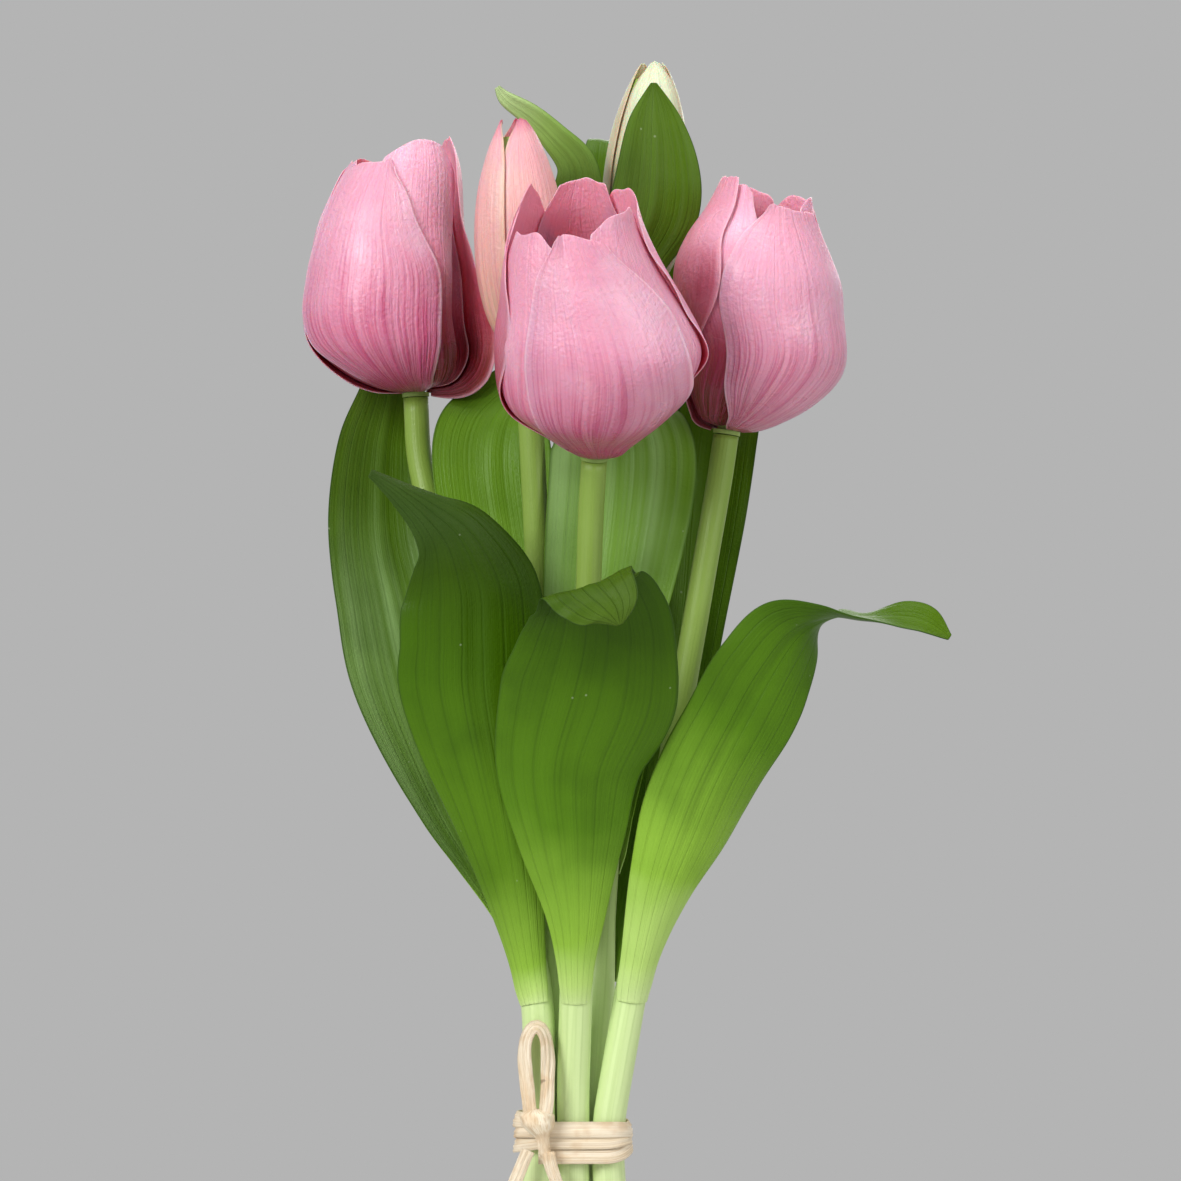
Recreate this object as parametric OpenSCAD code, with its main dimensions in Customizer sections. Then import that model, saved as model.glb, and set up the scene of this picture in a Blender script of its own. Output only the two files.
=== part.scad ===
// A bunch of five artificial tulips, three open and two in bud, held by a raffia tie.
// The origin is the centre of the middle stem's cut end, with +Z up along it.
// The front of the bunch looks towards -Y.

/* [Stems] */
// Diameter of a stem's lower part, which the short leaf wraps
stem_d = 7.2; // [6.6:0.1:7.6]
// Diameter of a stem above its leaves
neck_d = 5.6; // [4.8:0.1:6.4]
// Diameter of the steel wire inside a stem
wire_d = 1.8; // [1:0.1:2.2]
// Gap between neighbouring stems where the tie draws them together
stem_gap = 0.3; // [0.2:0.1:1.5]
// Height of the tie above the cut ends
tie_h = 153; // [140:1:165]
// Height above the tie where the short leaves begin
collar_h = 31; // [27:1:36]
// Length over which a stem narrows above its short leaf
taper_l = 14; // [8:1:20]
// Radius of the bend above the tie
bend_r = 60; // [50:5:80]
// Radius of the bend below a flower head
neck_bend_r = 40; // [30:5:50]

/* [Head heights] */
// Height of the left bloom's base above the tie
left_head_h = 165; // [159:1:171]
// Height of the pink bud's base above the tie
pink_head_h = 174; // [171:1:179]
// Height of the centre bloom's base above the tie
centre_head_h = 150; // [145:1:155]
// Height of the right bloom's base above the tie
right_head_h = 156; // [150:1:162]
// Height of the cream bud's base above the tie
cream_head_h = 189; // [182:1:192]

/* [Blooms] */
// Height of the centre bloom
centre_bloom_h = 61; // [54:1:66]
// Radius of the centre bloom
centre_bloom_r = 22.3; // [18:0.1:22.6]
// Height of the left bloom
left_bloom_h = 58; // [50:1:64]
// Radius of the left bloom
left_bloom_r = 19; // [17:0.1:19.2]
// Height of the right bloom
right_bloom_h = 56; // [50:1:62]
// Radius of the right bloom
right_bloom_r = 18.6; // [16:0.1:19]
// Sideways hang of a bloom's belly
belly_shift = 2; // [0:0.1:2.2]
// Thickness of a petal
petal_t = 0.9; // [0.6:0.1:1.1]
// Gap between the outer and the inner petals
petal_gap = 0.8; // [0.6:0.1:1.5]
// Diameter of a bloom's receptacle
receptacle_d = 6; // [5:0.1:7]
// Height of a bloom's receptacle
receptacle_h = 4.6; // [4.6:0.1:6]
// Diameter of the peg that enters the stem
peg_d = 3; // [2.4:0.1:3.4]
// Length of the peg
peg_l = 6; // [4:0.5:7]
// Running clearance of a peg or a wire in its bore
bore_gap = 0.1; // [0.05:0.01:0.2]
// Clearance between a flower head and the stem's end
head_gap = 0.2; // [0.1:0.05:0.5]
// Height of the pistil above the receptacle
pistil_h = 19; // [14:1:24]
// Diameter of the pistil
pistil_d = 4; // [3:0.1:4.6]
// Length of a stamen's filament
filament_l = 13; // [9:1:17]
// Diameter of a filament
filament_d = 1; // [0.8:0.1:1.4]
// Length of an anther
anther_l = 6; // [4:0.5:8]
// Diameter of an anther
anther_d = 2; // [1.4:0.1:2.4]

/* [Buds] */
// Height of the pink bud
pink_bud_h = 51; // [45:1:56]
// Radius of the pink bud
pink_bud_r = 10.8; // [9:0.1:11]
// Height of the cream bud
cream_bud_h = 51; // [45:1:54]
// Radius of the cream bud
cream_bud_r = 10.6; // [9:0.1:10.8]
// How far a bud petal's free edge stands over the next petal
bud_lap = 0.8; // [0.7:0.1:1]

/* [Leaves] */
// Thickness of a leaf
leaf_t = 0.8; // [0.6:0.1:0.9]
// Gap between a leaf's wrapped base and the stem
leaf_gap = 0.3; // [0.2:0.05:0.4]
// Height of the ripple along a leaf's edges
ripple = 1; // [0:0.1:1.2]
// Rise of the left tulip's tall leaf
left_tall_l = 150; // [142:1:155]
// Rise of the pink bud's tall leaf
pink_tall_l = 200; // [195:1:205]
// Rise of the centre tulip's tall leaf
centre_tall_l = 200; // [195:1:204]
// Rise of the right tulip's tall leaf
right_tall_l = 150; // [145:1:155]
// Rise of the cream bud's tall leaf
cream_tall_l = 200; // [195:1:205]
// Reach of the left tulip's short leaf
left_short_l = 100; // [95:1:104]
// Reach of the pink bud's short leaf
pink_short_l = 100; // [95:1:104]
// Reach of the centre tulip's short leaf
centre_short_l = 100; // [95:1:104]
// Reach of the right tulip's short leaf
right_short_l = 100; // [95:1:110]
// Reach of the cream bud's short leaf
cream_short_l = 100; // [95:1:104]
// Half width of a tall leaf
tall_half_w = 17; // [14:0.5:17.5]
// Half width of the left tulip's short leaf
left_short_half_w = 17; // [14:0.5:18]
// Half width of the centre tulip's short leaf
centre_short_half_w = 20; // [16:0.5:20.5]
// Half width of the right tulip's short leaf
right_short_half_w = 12.5; // [10:0.5:14]
// Half width of the two short leaves at the back
back_short_half_w = 13; // [10:0.5:13.5]

/* [Raffia tie] */
// Width of a raffia strand in the band
strand_w = 2.2; // [1.8:0.1:2.3]
// Thickness of a raffia strand
strand_t = 0.8; // [0.6:0.1:1]
// Rise of the band in one turn
strand_pitch = 2.7; // [2.7:0.1:3]
// Turns in the band
strand_turns = 3; // [2:1:3]
// Clearance between the band and the stems
tie_gap = 0.5; // [0.4:0.1:0.8]
// Width of the loop's and the tails' strand
tail_w = 3; // [2.4:0.1:3.4]
// Thickness of the loop's and the tails' strand
tail_t = 1.1; // [0.8:0.1:1.4]
// Height of the knot
knot_h = 8; // [6:0.5:9]
// Diameter of the knot
knot_d = 6; // [5:0.1:6.4]

/* [Hidden] */
// Fineness of the round surfaces
$fn = 48;
BLOOMS = ["left", "centre", "right"];
BUDS = ["pink", "cream"];
TULIPS = concat(BLOOMS, BUDS);

stem_r = stem_d / 2;
neck_r = neck_d / 2;
wire_r = wire_d / 2;
bore_r = wire_r + bore_gap;
peg_r = peg_d / 2;
socket_r = peg_r + bore_gap;
socket_l = peg_l + head_gap;
// Straight end of a stem, which holds the peg
tip_l = socket_l + wire_d;
// Overlap and step where a straight length of stem meets a bend
seam_l = 0.4;
seam_step = 0.02;
// Short leaves begin this far below the stem's taper
collar_l = stem_r;
spacing = stem_d + stem_gap;

// One row per tulip: place at the tie in stem spacings, compass angle of the stem's plane,
// lean of the foot, of the rise and of the head in that plane
STEM_SHARES = [
  ["left", [-1, 0], 138, 0, 17, 3],
  ["pink", [-0.5, 0.866], 215, 0, 3.5, 4.6],
  ["centre", [0, 0], -77.5, 0, 8.1, 17],
  ["right", [1, 0], 6.2, -3.5, 9.9, 8.5],
  ["cream", [0.5, 0.866], 62.6, -3.5, 7.9, 2]
];
// Start of each stem's bend above the tie, as a share of the short leaves' height above it
BEND_SHARES = [["left", 0.74], ["pink", 1.48], ["centre", 0.247], ["right", -0.148], ["cream", -0.0987]];
HEAD_HEIGHTS = [["left", left_head_h], ["pink", pink_head_h], ["centre", centre_head_h],
  ["right", right_head_h], ["cream", cream_head_h]];

function row_of(table, name) = [for (row = table) if (row[0] == name) row][0];
function waist(name) = row_of(STEM_SHARES, name)[1] * spacing;
function compass(name) = row_of(STEM_SHARES, name)[2];
function foot_lean(name) = row_of(STEM_SHARES, name)[3];
function rise_lean(name) = row_of(STEM_SHARES, name)[4];
function head_lean(name) = row_of(STEM_SHARES, name)[5];
function bend_h(name) = tie_h + collar_h * row_of(BEND_SHARES, name)[1];
function head_h(name) = tie_h + row_of(HEAD_HEIGHTS, name)[1];

// Step of an arc from lean a to lean b, as distance outwards and upwards
function arc_step(r, a, b) = let (s = sign(b - a)) [s * r * (cos(a) - cos(b)), s * r * (sin(b) - sin(a))];
function line_step(l, a) = [l * sin(a), l * cos(a)];

// The stem's stations in its own plane: foot, bend, rise, neck bend, straight tip, end
function foot_start(name) = let (a = foot_lean(name), z = stem_r * sin(abs(a)))
  [-(tie_h - z) * tan(a), z];
function foot_l(name) = (bend_h(name) - foot_start(name)[1]) / cos(foot_lean(name));
function bend_start(name) = foot_start(name) + line_step(foot_l(name), foot_lean(name));
function rise_start(name) = bend_start(name) + arc_step(bend_r, foot_lean(name), rise_lean(name));
function neck_step(name) = arc_step(neck_bend_r, rise_lean(name), head_lean(name));
function tip_step(name) = line_step(tip_l, head_lean(name));
function rise_l(name) = (head_h(name) - rise_start(name)[1] - neck_step(name)[1] - tip_step(name)[1])
  / cos(rise_lean(name));
function neck_start(name) = rise_start(name) + line_step(rise_l(name), rise_lean(name));
function tip_start(name) = neck_start(name) + neck_step(name);
function head_place(name) = tip_start(name) + tip_step(name);
// Length of the rise that keeps the stem's full diameter
function thick_l(name) =
  max(collar_l, (tie_h + collar_h + collar_l - rise_start(name)[1]) / cos(rise_lean(name)));

// Puts its children at a station of the stem's plane, leaning by a
module station(name, place, a) {
  translate(waist(name))
    rotate([0, 0, compass(name)])
      translate([place[0], 0, place[1]])
        rotate([0, a, 0])
          children();
}

// Bent rod from lean a to lean b
module bent_rod(r, a, b, outside) {
  side = b > a ? 1 : -1;
  turn = abs(b - a);
  translate([side * r, 0, 0])
    rotate([90, 0, 0])
      rotate([0, 0, side > 0 ? 180 - turn : 0])
        rotate_extrude(angle = turn)
          translate([r, 0])
            circle(outside);
}

// Runs a rod of radius r along the stem from its cut end to the neck. The straight lengths reach
// into the bends by one seam length, and the bends are thicker by one seam step.
module rod(name, r, r_rise, end) {
  foot = foot_lean(name);
  rise = rise_lean(name);
  station(name, foot_start(name), foot)
    translate([0, 0, -end]) cylinder(r = r, h = foot_l(name) + end + seam_l);
  station(name, bend_start(name), foot) bent_rod(bend_r, foot, rise, r + seam_step);
  station(name, rise_start(name), rise)
    translate([0, 0, -seam_l]) rotate_extrude() {
      thick = thick_l(name) + seam_l;
      l = rise_l(name) + 2 * seam_l;
      polygon([[0, 0], [r, 0], [r, thick], [r_rise, thick + taper_l], [r_rise, l], [0, l]]);
    }
  station(name, neck_start(name), rise)
    bent_rod(neck_bend_r, rise, head_lean(name), r_rise + seam_step);
}

module stem(name) {
  color("yellowgreen") difference() {
    union() {
      rod(name, stem_r, neck_r, 0);
      station(name, tip_start(name), head_lean(name))
        translate([0, 0, -seam_l]) cylinder(r = neck_r, h = tip_l + seam_l);
    }
    rod(name, bore_r, bore_r, seam_l);
    station(name, tip_start(name), head_lean(name)) {
      translate([0, 0, -seam_l]) cylinder(r = bore_r, h = tip_l);
      translate([0, 0, tip_l - socket_l]) cylinder(r = socket_r, h = socket_l + seam_l);
    }
  }
}

// The wire runs from the cut end to the foot of the peg's socket
module stem_wire(name) {
  color("silver") rod(name, wire_r, wire_r, 0);
}

// Puts a flower head on its stem's end, keeping the compass directions
module on_stem(name) {
  station(name, head_place(name), head_lean(name))
    rotate([0, 0, -compass(name)])
      children();
}

// Smooth curve through rows of numbers, for s from 0 to 1
function mixed(a, b, c, d, s) = (2 * b + (c - a) * s + (2 * a - 5 * b + 4 * c - d) * s * s
  + (3 * b - a - 3 * c + d) * s * s * s) / 2;
function along(rows, s) = let (n = len(rows) - 1, x = min(max(s, 0), 1) * n, i = min(floor(x), n - 1))
  mixed(rows[max(i - 1, 0)], rows[i], rows[i + 1], rows[min(i + 2, n)], x - i);
function unit(v) = v / norm(v);

// A closed skin between an outer and an inner grid of points
module skin(outer, inner) {
  rows = len(outer);
  cols = len(outer[0]);
  n = rows * cols;
  function at(i, j) = i * cols + j;
  function sheet(i, j) =
    [[at(i, j), at(i + 1, j + 1), at(i, j + 1)], [at(i, j), at(i + 1, j), at(i + 1, j + 1)]];
  function back(face) = [for (k = [2, 1, 0]) face[k] + n];
  function rim(a, b) = [[a, b, b + n], [a, b + n, a + n]];
  points = [for (grid = [outer, inner], row = grid) each row];
  faces = [
    for (i = [0:rows - 2], j = [0:cols - 2]) each sheet(i, j),
    for (i = [0:rows - 2], j = [0:cols - 2], face = sheet(i, j)) back(face),
    for (j = [0:cols - 2]) each rim(at(0, j), at(0, j + 1)),
    for (j = [0:cols - 2]) each rim(at(rows - 1, j + 1), at(rows - 1, j)),
    for (i = [0:rows - 2]) each rim(at(i, cols - 1), at(i + 1, cols - 1)),
    for (i = [0:rows - 2]) each rim(at(i + 1, 0), at(i, 0))
  ];
  polyhedron(points, faces, convexity = 6);
}

// Outline of each bloom and of a bud from the claw to the tip, as shares of radius and height
BLOOM_SHARES = [
  ["left", [[0, 0], [0.42, 0.03], [0.74, 0.1], [0.94, 0.19], [1, 0.32], [0.97, 0.46], [0.9, 0.6],
    [0.8, 0.74], [0.64, 0.88], [0.4, 1]]],
  ["centre", [[0, 0], [0.34, 0.04], [0.66, 0.12], [0.89, 0.23], [0.99, 0.34], [0.98, 0.46], [0.87, 0.59],
    [0.7, 0.73], [0.53, 0.87], [0.37, 1]]],
  ["right", [[0, 0], [0.38, 0.03], [0.7, 0.1], [0.92, 0.19], [1, 0.32], [0.99, 0.46], [0.93, 0.61],
    [0.81, 0.76], [0.62, 0.9], [0.42, 1]]]
];
BUD_SHARES = [[0, 0], [0.42, 0.04], [0.76, 0.14], [0.95, 0.28], [1, 0.42], [0.93, 0.57], [0.76, 0.72],
  [0.5, 0.86], [0.2, 0.96], [-0.1, 1]];
// Half width of a petal along the same stations, as a share of its widest
PETAL_WIDTH_SHARES = [0.6, 0.8, 0.93, 1, 1, 1, 0.98, 0.92, 0.76, 0.4];
BUD_WIDTH_SHARES = [0.7, 0.88, 1, 1, 1, 1, 1, 0.98, 0.9, 0.7];
OUTER_HALF_ANGLE = 58;
INNER_HALF_ANGLE = 52;
BUD_HALF_ANGLE = 65;
PETAL_ROWS = 9;
PETAL_COLS = 6;
// Petals start this far out from the head's axis and this far up
claw_r = receptacle_d / 2 + 2 * head_gap;
claw_z = 2 * head_gap + petal_t;

// Point of a head's outline and its outward direction, moved inwards by depth
function outline(shares, r, h, v, depth) =
  let (
    step = 0.01,
    p = along(shares, v),
    d = along(shares, v + step) - along(shares, v - step),
    t = unit([d[0] * (r - claw_r), d[1] * (h - claw_z)]),
    rise = min(max(p[1], 0), 1)
  )
  [claw_r + (r - claw_r) * p[0] - depth * t[1], claw_z + (h - claw_z) * p[1] + depth * t[0], rise];
// Point of a head at a compass angle. The belly hangs along x by shift[0] and the tip sways by shift[1].
function around(p, angle, shift) = let (x = shift[0] * sin(180 * p[2]) + shift[1] * p[2] * p[2])
  [p[0] * cos(angle) + x, p[0] * sin(angle), p[1]];

// Grid of a petal: u runs across from -1 to 1, v runs up from 0 to top
function petal_grid(shares, widths, r, h, middle, half, lap, shift, top, depth) = [
  for (i = [0:PETAL_ROWS])
    let (v = top * i / PETAL_ROWS, spread = half * along(widths, i / PETAL_ROWS))
    [for (j = [0:PETAL_COLS])
      let (u = 2 * j / PETAL_COLS - 1, p = outline(shares, r, h, v, depth - lap * u * min(4 * v, 1)))
      around(p, middle + u * spread, shift)]
];

// One row per bloom: radius, height, compass angle of its front petal, hang of the belly and sway
// of the tip, and how far up each outer and inner petal reaches
BLOOM_ROWS = [
  ["left", left_bloom_r, left_bloom_h, -108, [-2.1, 0.2], [0.92, 0.98, 1], [0.98, 0.96, 1]],
  ["centre", centre_bloom_r, centre_bloom_h, -92, [0, -2], [0.89, 1, 0.98], [0.93, 1, 0.92]],
  ["right", right_bloom_r, right_bloom_h, -74, [1, -0.5], [0.93, 0.98, 1], [0.97, 1, 0.98]]
];

module bloom_petal(name, i, inner) {
  row = row_of(BLOOM_ROWS, name);
  depth = inner ? petal_t + petal_gap : 0;
  middle = row[3] + 120 * (i - 1) + (inner ? 60 : 0);
  half = inner ? INNER_HALF_ANGLE : OUTER_HALF_ANGLE;
  top = row[inner ? 6 : 5][i - 1];
  shift = row[4] * belly_shift;
  shares = row_of(BLOOM_SHARES, name)[1];
  function face(d) = petal_grid(shares, PETAL_WIDTH_SHARES, row[1], row[2], middle, half, 0, shift, top, d);
  on_stem(name) color(inner ? "palevioletred" : "pink") skin(face(depth), face(depth + petal_t));
}

BUD_ROWS = [
  ["pink", pink_bud_r, pink_bud_h, -52],
  ["cream", cream_bud_r, cream_bud_h, -90]
];

module bud_petal(name, i) {
  row = row_of(BUD_ROWS, name);
  middle = row[3] + 120 * (i - 1);
  function face(d) = petal_grid(BUD_SHARES, BUD_WIDTH_SHARES, row[1], row[2], middle, BUD_HALF_ANGLE, bud_lap,
    [0, 0], 1, d + bud_lap);
  on_stem(name) color(name == "pink" ? "lightpink" : "beige") skin(face(0), face(petal_t));
}

// The receptacle on its shoulder, with the peg
module bloom_base(name) {
  shoulder_r = receptacle_d / 2;
  waist_r = shoulder_r - petal_t;
  on_stem(name) color("yellowgreen")
    rotate_extrude()
      polygon([[0, -peg_l], [peg_r, -peg_l], [peg_r, head_gap], [shoulder_r, head_gap],
        [shoulder_r, claw_z - head_gap], [waist_r, claw_z - head_gap], [waist_r, receptacle_h],
        [0, receptacle_h]]);
}

// Pistil with a three-lobed top, and six stamens around it, moulded in one piece
module bloom_stamens(name) {
  lean = 12;
  disc_r = receptacle_d / 2 - head_gap;
  on_stem(name) translate([0, 0, receptacle_h]) color("darkkhaki") union() {
    cylinder(r = disc_r, h = anther_d);
    cylinder(d = pistil_d, h = pistil_h);
    for (i = [0:2])
      rotate([0, 0, 120 * i]) translate([pistil_d / 4, 0, pistil_h]) sphere(d = 0.7 * pistil_d);
    for (i = [0:5])
      rotate([0, 0, 60 * i + 30]) translate([disc_r - filament_d, 0, filament_d]) rotate([0, lean, 0]) {
        cylinder(d = filament_d, h = filament_l);
        translate([0, 0, filament_l - filament_d]) cylinder(d = anther_d, h = anther_l);
      }
  }
}

// Solid heart of a bud under its three petals, on a neck with a shoulder and the peg
module bud_core(name) {
  row = row_of(BUD_ROWS, name);
  depth = petal_t + 2 * bud_lap + petal_gap / 2;
  shoulder_r = receptacle_d / 2;
  steps = 12;
  function heart_at(v) = let (p = outline(BUD_SHARES, row[1], row[2], v, depth)) [p[0], p[1]];
  heart = [for (i = [1:steps]) heart_at(0.92 * i / steps)];
  on_stem(name) color("beige")
    rotate_extrude()
      polygon(concat([[0, -peg_l], [peg_r, -peg_l], [peg_r, head_gap], [shoulder_r, head_gap],
        [shoulder_r, claw_z - head_gap], [peg_r, claw_z - head_gap], [peg_r, heart[0][1]]],
        heart, [[0, heart[steps - 1][1]]]));
}

// Each leaf's stations along its length: place in shares of its length from the front of the
// collar, share of the collar's width, share of the blade's width, half of the angle that the
// leaf wraps, and compass angle and rise of the direction across the leaf
LEAF_SHARES = [
  ["left_short", [
    [0, 0, 0, 1, 0, 54, -14, 0], [-0.013, 0.004, 0.08, 0.95, 0.04, 52, -14, 0],
    [-0.04, -0.03, 0.23, 0.5, 0.3, 46, -10, 0], [-0.08, -0.08, 0.45, 0, 0.7, 34, 0, 0],
    [-0.12, -0.115, 0.67, 0, 0.96, 26, 8, 0], [-0.125, -0.135, 0.8, 0, 1, 24, 12, 0],
    [-0.13, -0.155, 0.91, 0, 0.9, 24, 12, 6], [-0.165, -0.18, 1.01, 0, 0.6, 30, 14, 14],
    [-0.22, -0.205, 1.07, 0, 0.33, 40, 24, 20], [-0.285, -0.225, 1.12, 0, 0.16, 45, 30, 20],
    [-0.35, -0.24, 1.16, 0, 0.03, 40, 30, 20]]],
  ["centre_short", [
    [0, 0, 0, 1, 0, 50, 0, 0], [0, -0.015, 0.08, 0.95, 0.04, 49, 0, 0],
    [0, -0.045, 0.2, 0.6, 0.25, 46, 0, 0], [-0.01, -0.08, 0.36, 0.15, 0.6, 38, 0, 0],
    [-0.015, -0.13, 0.52, 0, 0.84, 30, 0, 0], [0.028, -0.185, 0.67, 0, 0.97, 24, 0, 3],
    [0.05, -0.235, 0.79, 0, 0.87, 22, 0, 6], [0.055, -0.285, 0.87, 0, 0.72, 14, 0, 12],
    [0.055, -0.33, 0.92, 0, 0.54, 7, 0, 16], [0.085, -0.36, 0.9, 0, 0.34, 7, 0, 2],
    [0.13, -0.375, 0.872, 0, 0.18, 7, 0, 0], [0.17, -0.38, 0.842, 0, 0.03, 7, 0, 0]]],
  ["right_short", [
    [0, 0, 0, 1, 0, 74, 28, 0], [0.015, -0.018, 0.09, 0.95, 0.04, 70, 27, 0],
    [0.06, -0.055, 0.25, 0.45, 0.5, 55, 20, 0], [0.11, -0.08, 0.38, 0.1, 0.86, 38, 15, 0],
    [0.155, -0.105, 0.49, 0, 0.97, 30, 12, 0], [0.22, -0.135, 0.62, 0, 1, 26, 10, 0],
    [0.28, -0.155, 0.73, 0, 0.96, 26, 14, 0], [0.345, -0.175, 0.82, 0, 0.8, 30, 26, 0],
    [0.42, -0.19, 0.855, 0, 0.55, 38, 55, 0], [0.49, -0.2, 0.85, 0, 0.32, 34, 82, 8],
    [0.575, -0.21, 0.85, 0, 0.36, 30, 90, 40], [0.63, -0.215, 0.835, 0, 0.32, 40, 90, 45],
    [0.675, -0.22, 0.81, 0, 0.05, 30, 90, 45]]],
  ["pink_short", [
    [0, 0, 0, 1, 0, 60, 200, 0], [0, 0.01, 0.08, 0.95, 0.04, 56, 200, 0],
    [-0.005, 0.09, 0.24, 0.5, 0.35, 46, 192, 0], [-0.015, 0.21, 0.44, 0, 0.8, 32, 190, 0],
    [-0.025, 0.31, 0.62, 0, 1, 26, 190, 0], [-0.03, 0.4, 0.74, 0, 0.85, 24, 190, 0],
    [-0.035, 0.48, 0.81, 0, 0.5, 22, 190, 0], [-0.04, 0.56, 0.83, 0, 0.04, 20, 190, 0]]],
  ["cream_short", [
    [0, 0, 0, 1, 0, 60, 150, 0], [0.005, 0.01, 0.08, 0.95, 0.04, 56, 150, 0],
    [0.03, 0.05, 0.24, 0.5, 0.35, 46, 150, 0], [0.08, 0.12, 0.47, 0, 0.8, 32, 150, 0],
    [0.13, 0.19, 0.66, 0, 1, 26, 150, 0], [0.17, 0.27, 0.79, 0, 0.85, 24, 150, 0],
    [0.2, 0.35, 0.85, 0, 0.5, 22, 150, 0], [0.22, 0.42, 0.87, 0, 0.04, 20, 150, 0]]],
  ["left_tall", [
    [0, 0, 0, 1, 0, 50, 215, 0], [-0.012, 0.016, 0.06, 0.8, 0.1, 46, 212, 0],
    [-0.052, 0.054, 0.15, 0.4, 0.34, 44, 208, 0], [-0.095, 0.072, 0.25, 0.1, 0.58, 40, 205, 0],
    [-0.155, 0.09, 0.4, 0, 0.86, 32, 200, 0],
    [-0.195, 0.13, 0.55, 0, 0.84, 28, 196, 0], [-0.215, 0.16, 0.65, 0, 0.76, 26, 194, 0],
    [-0.215, 0.21, 0.77, 0, 0.62, 24, 194, 0], [-0.2, 0.265, 0.87, 0, 0.42, 22, 192, 0],
    [-0.195, 0.32, 0.97, 0, 0.28, 20, 190, 0], [-0.19, 0.345, 1.05, 0, 0.03, 20, 190, 0]]],
  ["pink_tall", [
    [0, 0, 0, 1, 0, 75, 180, 0], [0, 0, 0.05, 0.8, 0.1, 66, 180, 0],
    [-0.025, 0.006, 0.2, 0.1, 0.5, 38, 180, 0], [-0.05, 0.012, 0.33, 0, 0.72, 28, 182, 0],
    [-0.068, 0.014, 0.45, 0, 0.8, 24, 184, 0], [-0.06, 0.018, 0.53, 0, 0.7, 22, 184, 0],
    [-0.02, 0.024, 0.585, 0, 0.5, 18, 182, 0], [0.006, 0.03, 0.64, 0, 0.42, 14, 180, 0],
    [0.018, 0.032, 0.7, 0, 0.38, 12, 180, 0], [0.026, 0.033, 0.75, 0, 0.34, 12, 178, 0],
    [0.025, 0.034, 0.79, 0, 0.26, 12, 176, 0], [0.001, 0.035, 0.82, 0, 0.19, 12, 172, 0],
    [-0.026, 0.036, 0.845, 0, 0.15, 12, 170, 0], [-0.053, 0.036, 0.863, 0, 0.1, 12, 170, 0],
    [-0.064, 0.036, 0.877, 0, 0.03, 12, 170, 0]]],
  ["centre_tall", [
    [0, 0, 0, 1, 0, 75, 180, 0], [0.002, -0.006, 0.06, 0.8, 0.12, 64, 180, 0],
    [0.005, 0.006, 0.175, 0.1, 0.5, 42, 180, 0], [0.03, 0.02, 0.325, 0, 0.84, 28, 180, 0],
    [0.047, 0.035, 0.47, 0, 0.98, 24, 184, 0], [0.04, 0.046, 0.525, 0, 0.82, 22, 190, 0],
    [0.032, 0.06, 0.57, 0, 0.59, 20, 196, 0], [0.032, 0.072, 0.615, 0, 0.45, 18, 200, 0],
    [0.043, 0.084, 0.665, 0, 0.4, 18, 202, 0], [0.063, 0.089, 0.71, 0, 0.48, 18, 202, 0],
    [0.081, 0.088, 0.755, 0, 0.62, 16, 198, 0], [0.086, 0.088, 0.81, 0, 0.56, 16, 198, 0],
    [0.085, 0.088, 0.86, 0, 0.36, 14, 198, 0], [0.084, 0.088, 0.9, 0, 0.03, 14, 198, 0]]],
  ["right_tall", [
    [0, 0, 0, 1, 0, 75, 165, 0], [0.01, 0.005, 0.06, 0.8, 0.08, 64, 165, 0],
    [0.035, 0.03, 0.2, 0.2, 0.28, 44, 170, 0], [0.068, 0.065, 0.42, 0, 0.42, 30, 175, 0],
    [0.086, 0.085, 0.57, 0, 0.52, 26, 178, 0], [0.098, 0.1, 0.67, 0, 0.55, 24, 180, 0],
    [0.115, 0.13, 0.76, 0, 0.5, 22, 180, 0], [0.14, 0.16, 0.86, 0, 0.34, 20, 180, 0],
    [0.165, 0.195, 0.97, 0, 0.03, 20, 180, 0]]],
  ["cream_tall", [
    [0, 0, 0, 1, 0, 75, 170, 0], [0.005, 0.008, 0.06, 0.8, 0.12, 64, 170, 0],
    [0.012, 0.025, 0.18, 0.1, 0.52, 42, 175, 0], [0.022, 0.065, 0.36, 0, 0.78, 28, 180, 0],
    [0.027, 0.108, 0.54, 0, 0.84, 24, 180, 0], [0.03, 0.135, 0.67, 0, 0.8, 22, 180, 0],
    [0.028, 0.152, 0.76, 0, 0.74, 20, 180, 0], [0.025, 0.175, 0.82, 0, 0.6, 20, 180, 0],
    [0.024, 0.2, 0.83, 0, 0.45, 20, 180, 0], [0.022, 0.23, 0.82, 0, 0.04, 20, 180, 0]]]
];
// One row per leaf: its stem, height of its collar above the tie as a share of the short leaves',
// compass angle that it faces, length, half width and phase of the ripple
LEAF_ROWS = [
  ["left_short", "left", 1, -104, left_short_l, left_short_half_w, 20],
  ["centre_short", "centre", 1, -90, centre_short_l, centre_short_half_w, 0],
  ["right_short", "right", 1, -62, right_short_l, right_short_half_w, 90],
  ["pink_short", "pink", 1.12, 110, pink_short_l, back_short_half_w, 40],
  ["cream_short", "cream", 1.12, 60, cream_short_l, back_short_half_w, 200],
  ["left_tall", "left", 1.21, 125, left_tall_l, tall_half_w, 60],
  ["pink_tall", "pink", 1.89, 90, pink_tall_l, tall_half_w, 300],
  ["centre_tall", "centre", 1.77, 90, centre_tall_l, tall_half_w, 120],
  ["right_tall", "right", 1.77, 75, right_tall_l, tall_half_w, 10],
  ["cream_tall", "cream", 1.89, 80, cream_tall_l, tall_half_w, 230]
];
LEAF_RINGS = 18;
LEAF_COLS = 6;
RIPPLES = 3.5;

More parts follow.
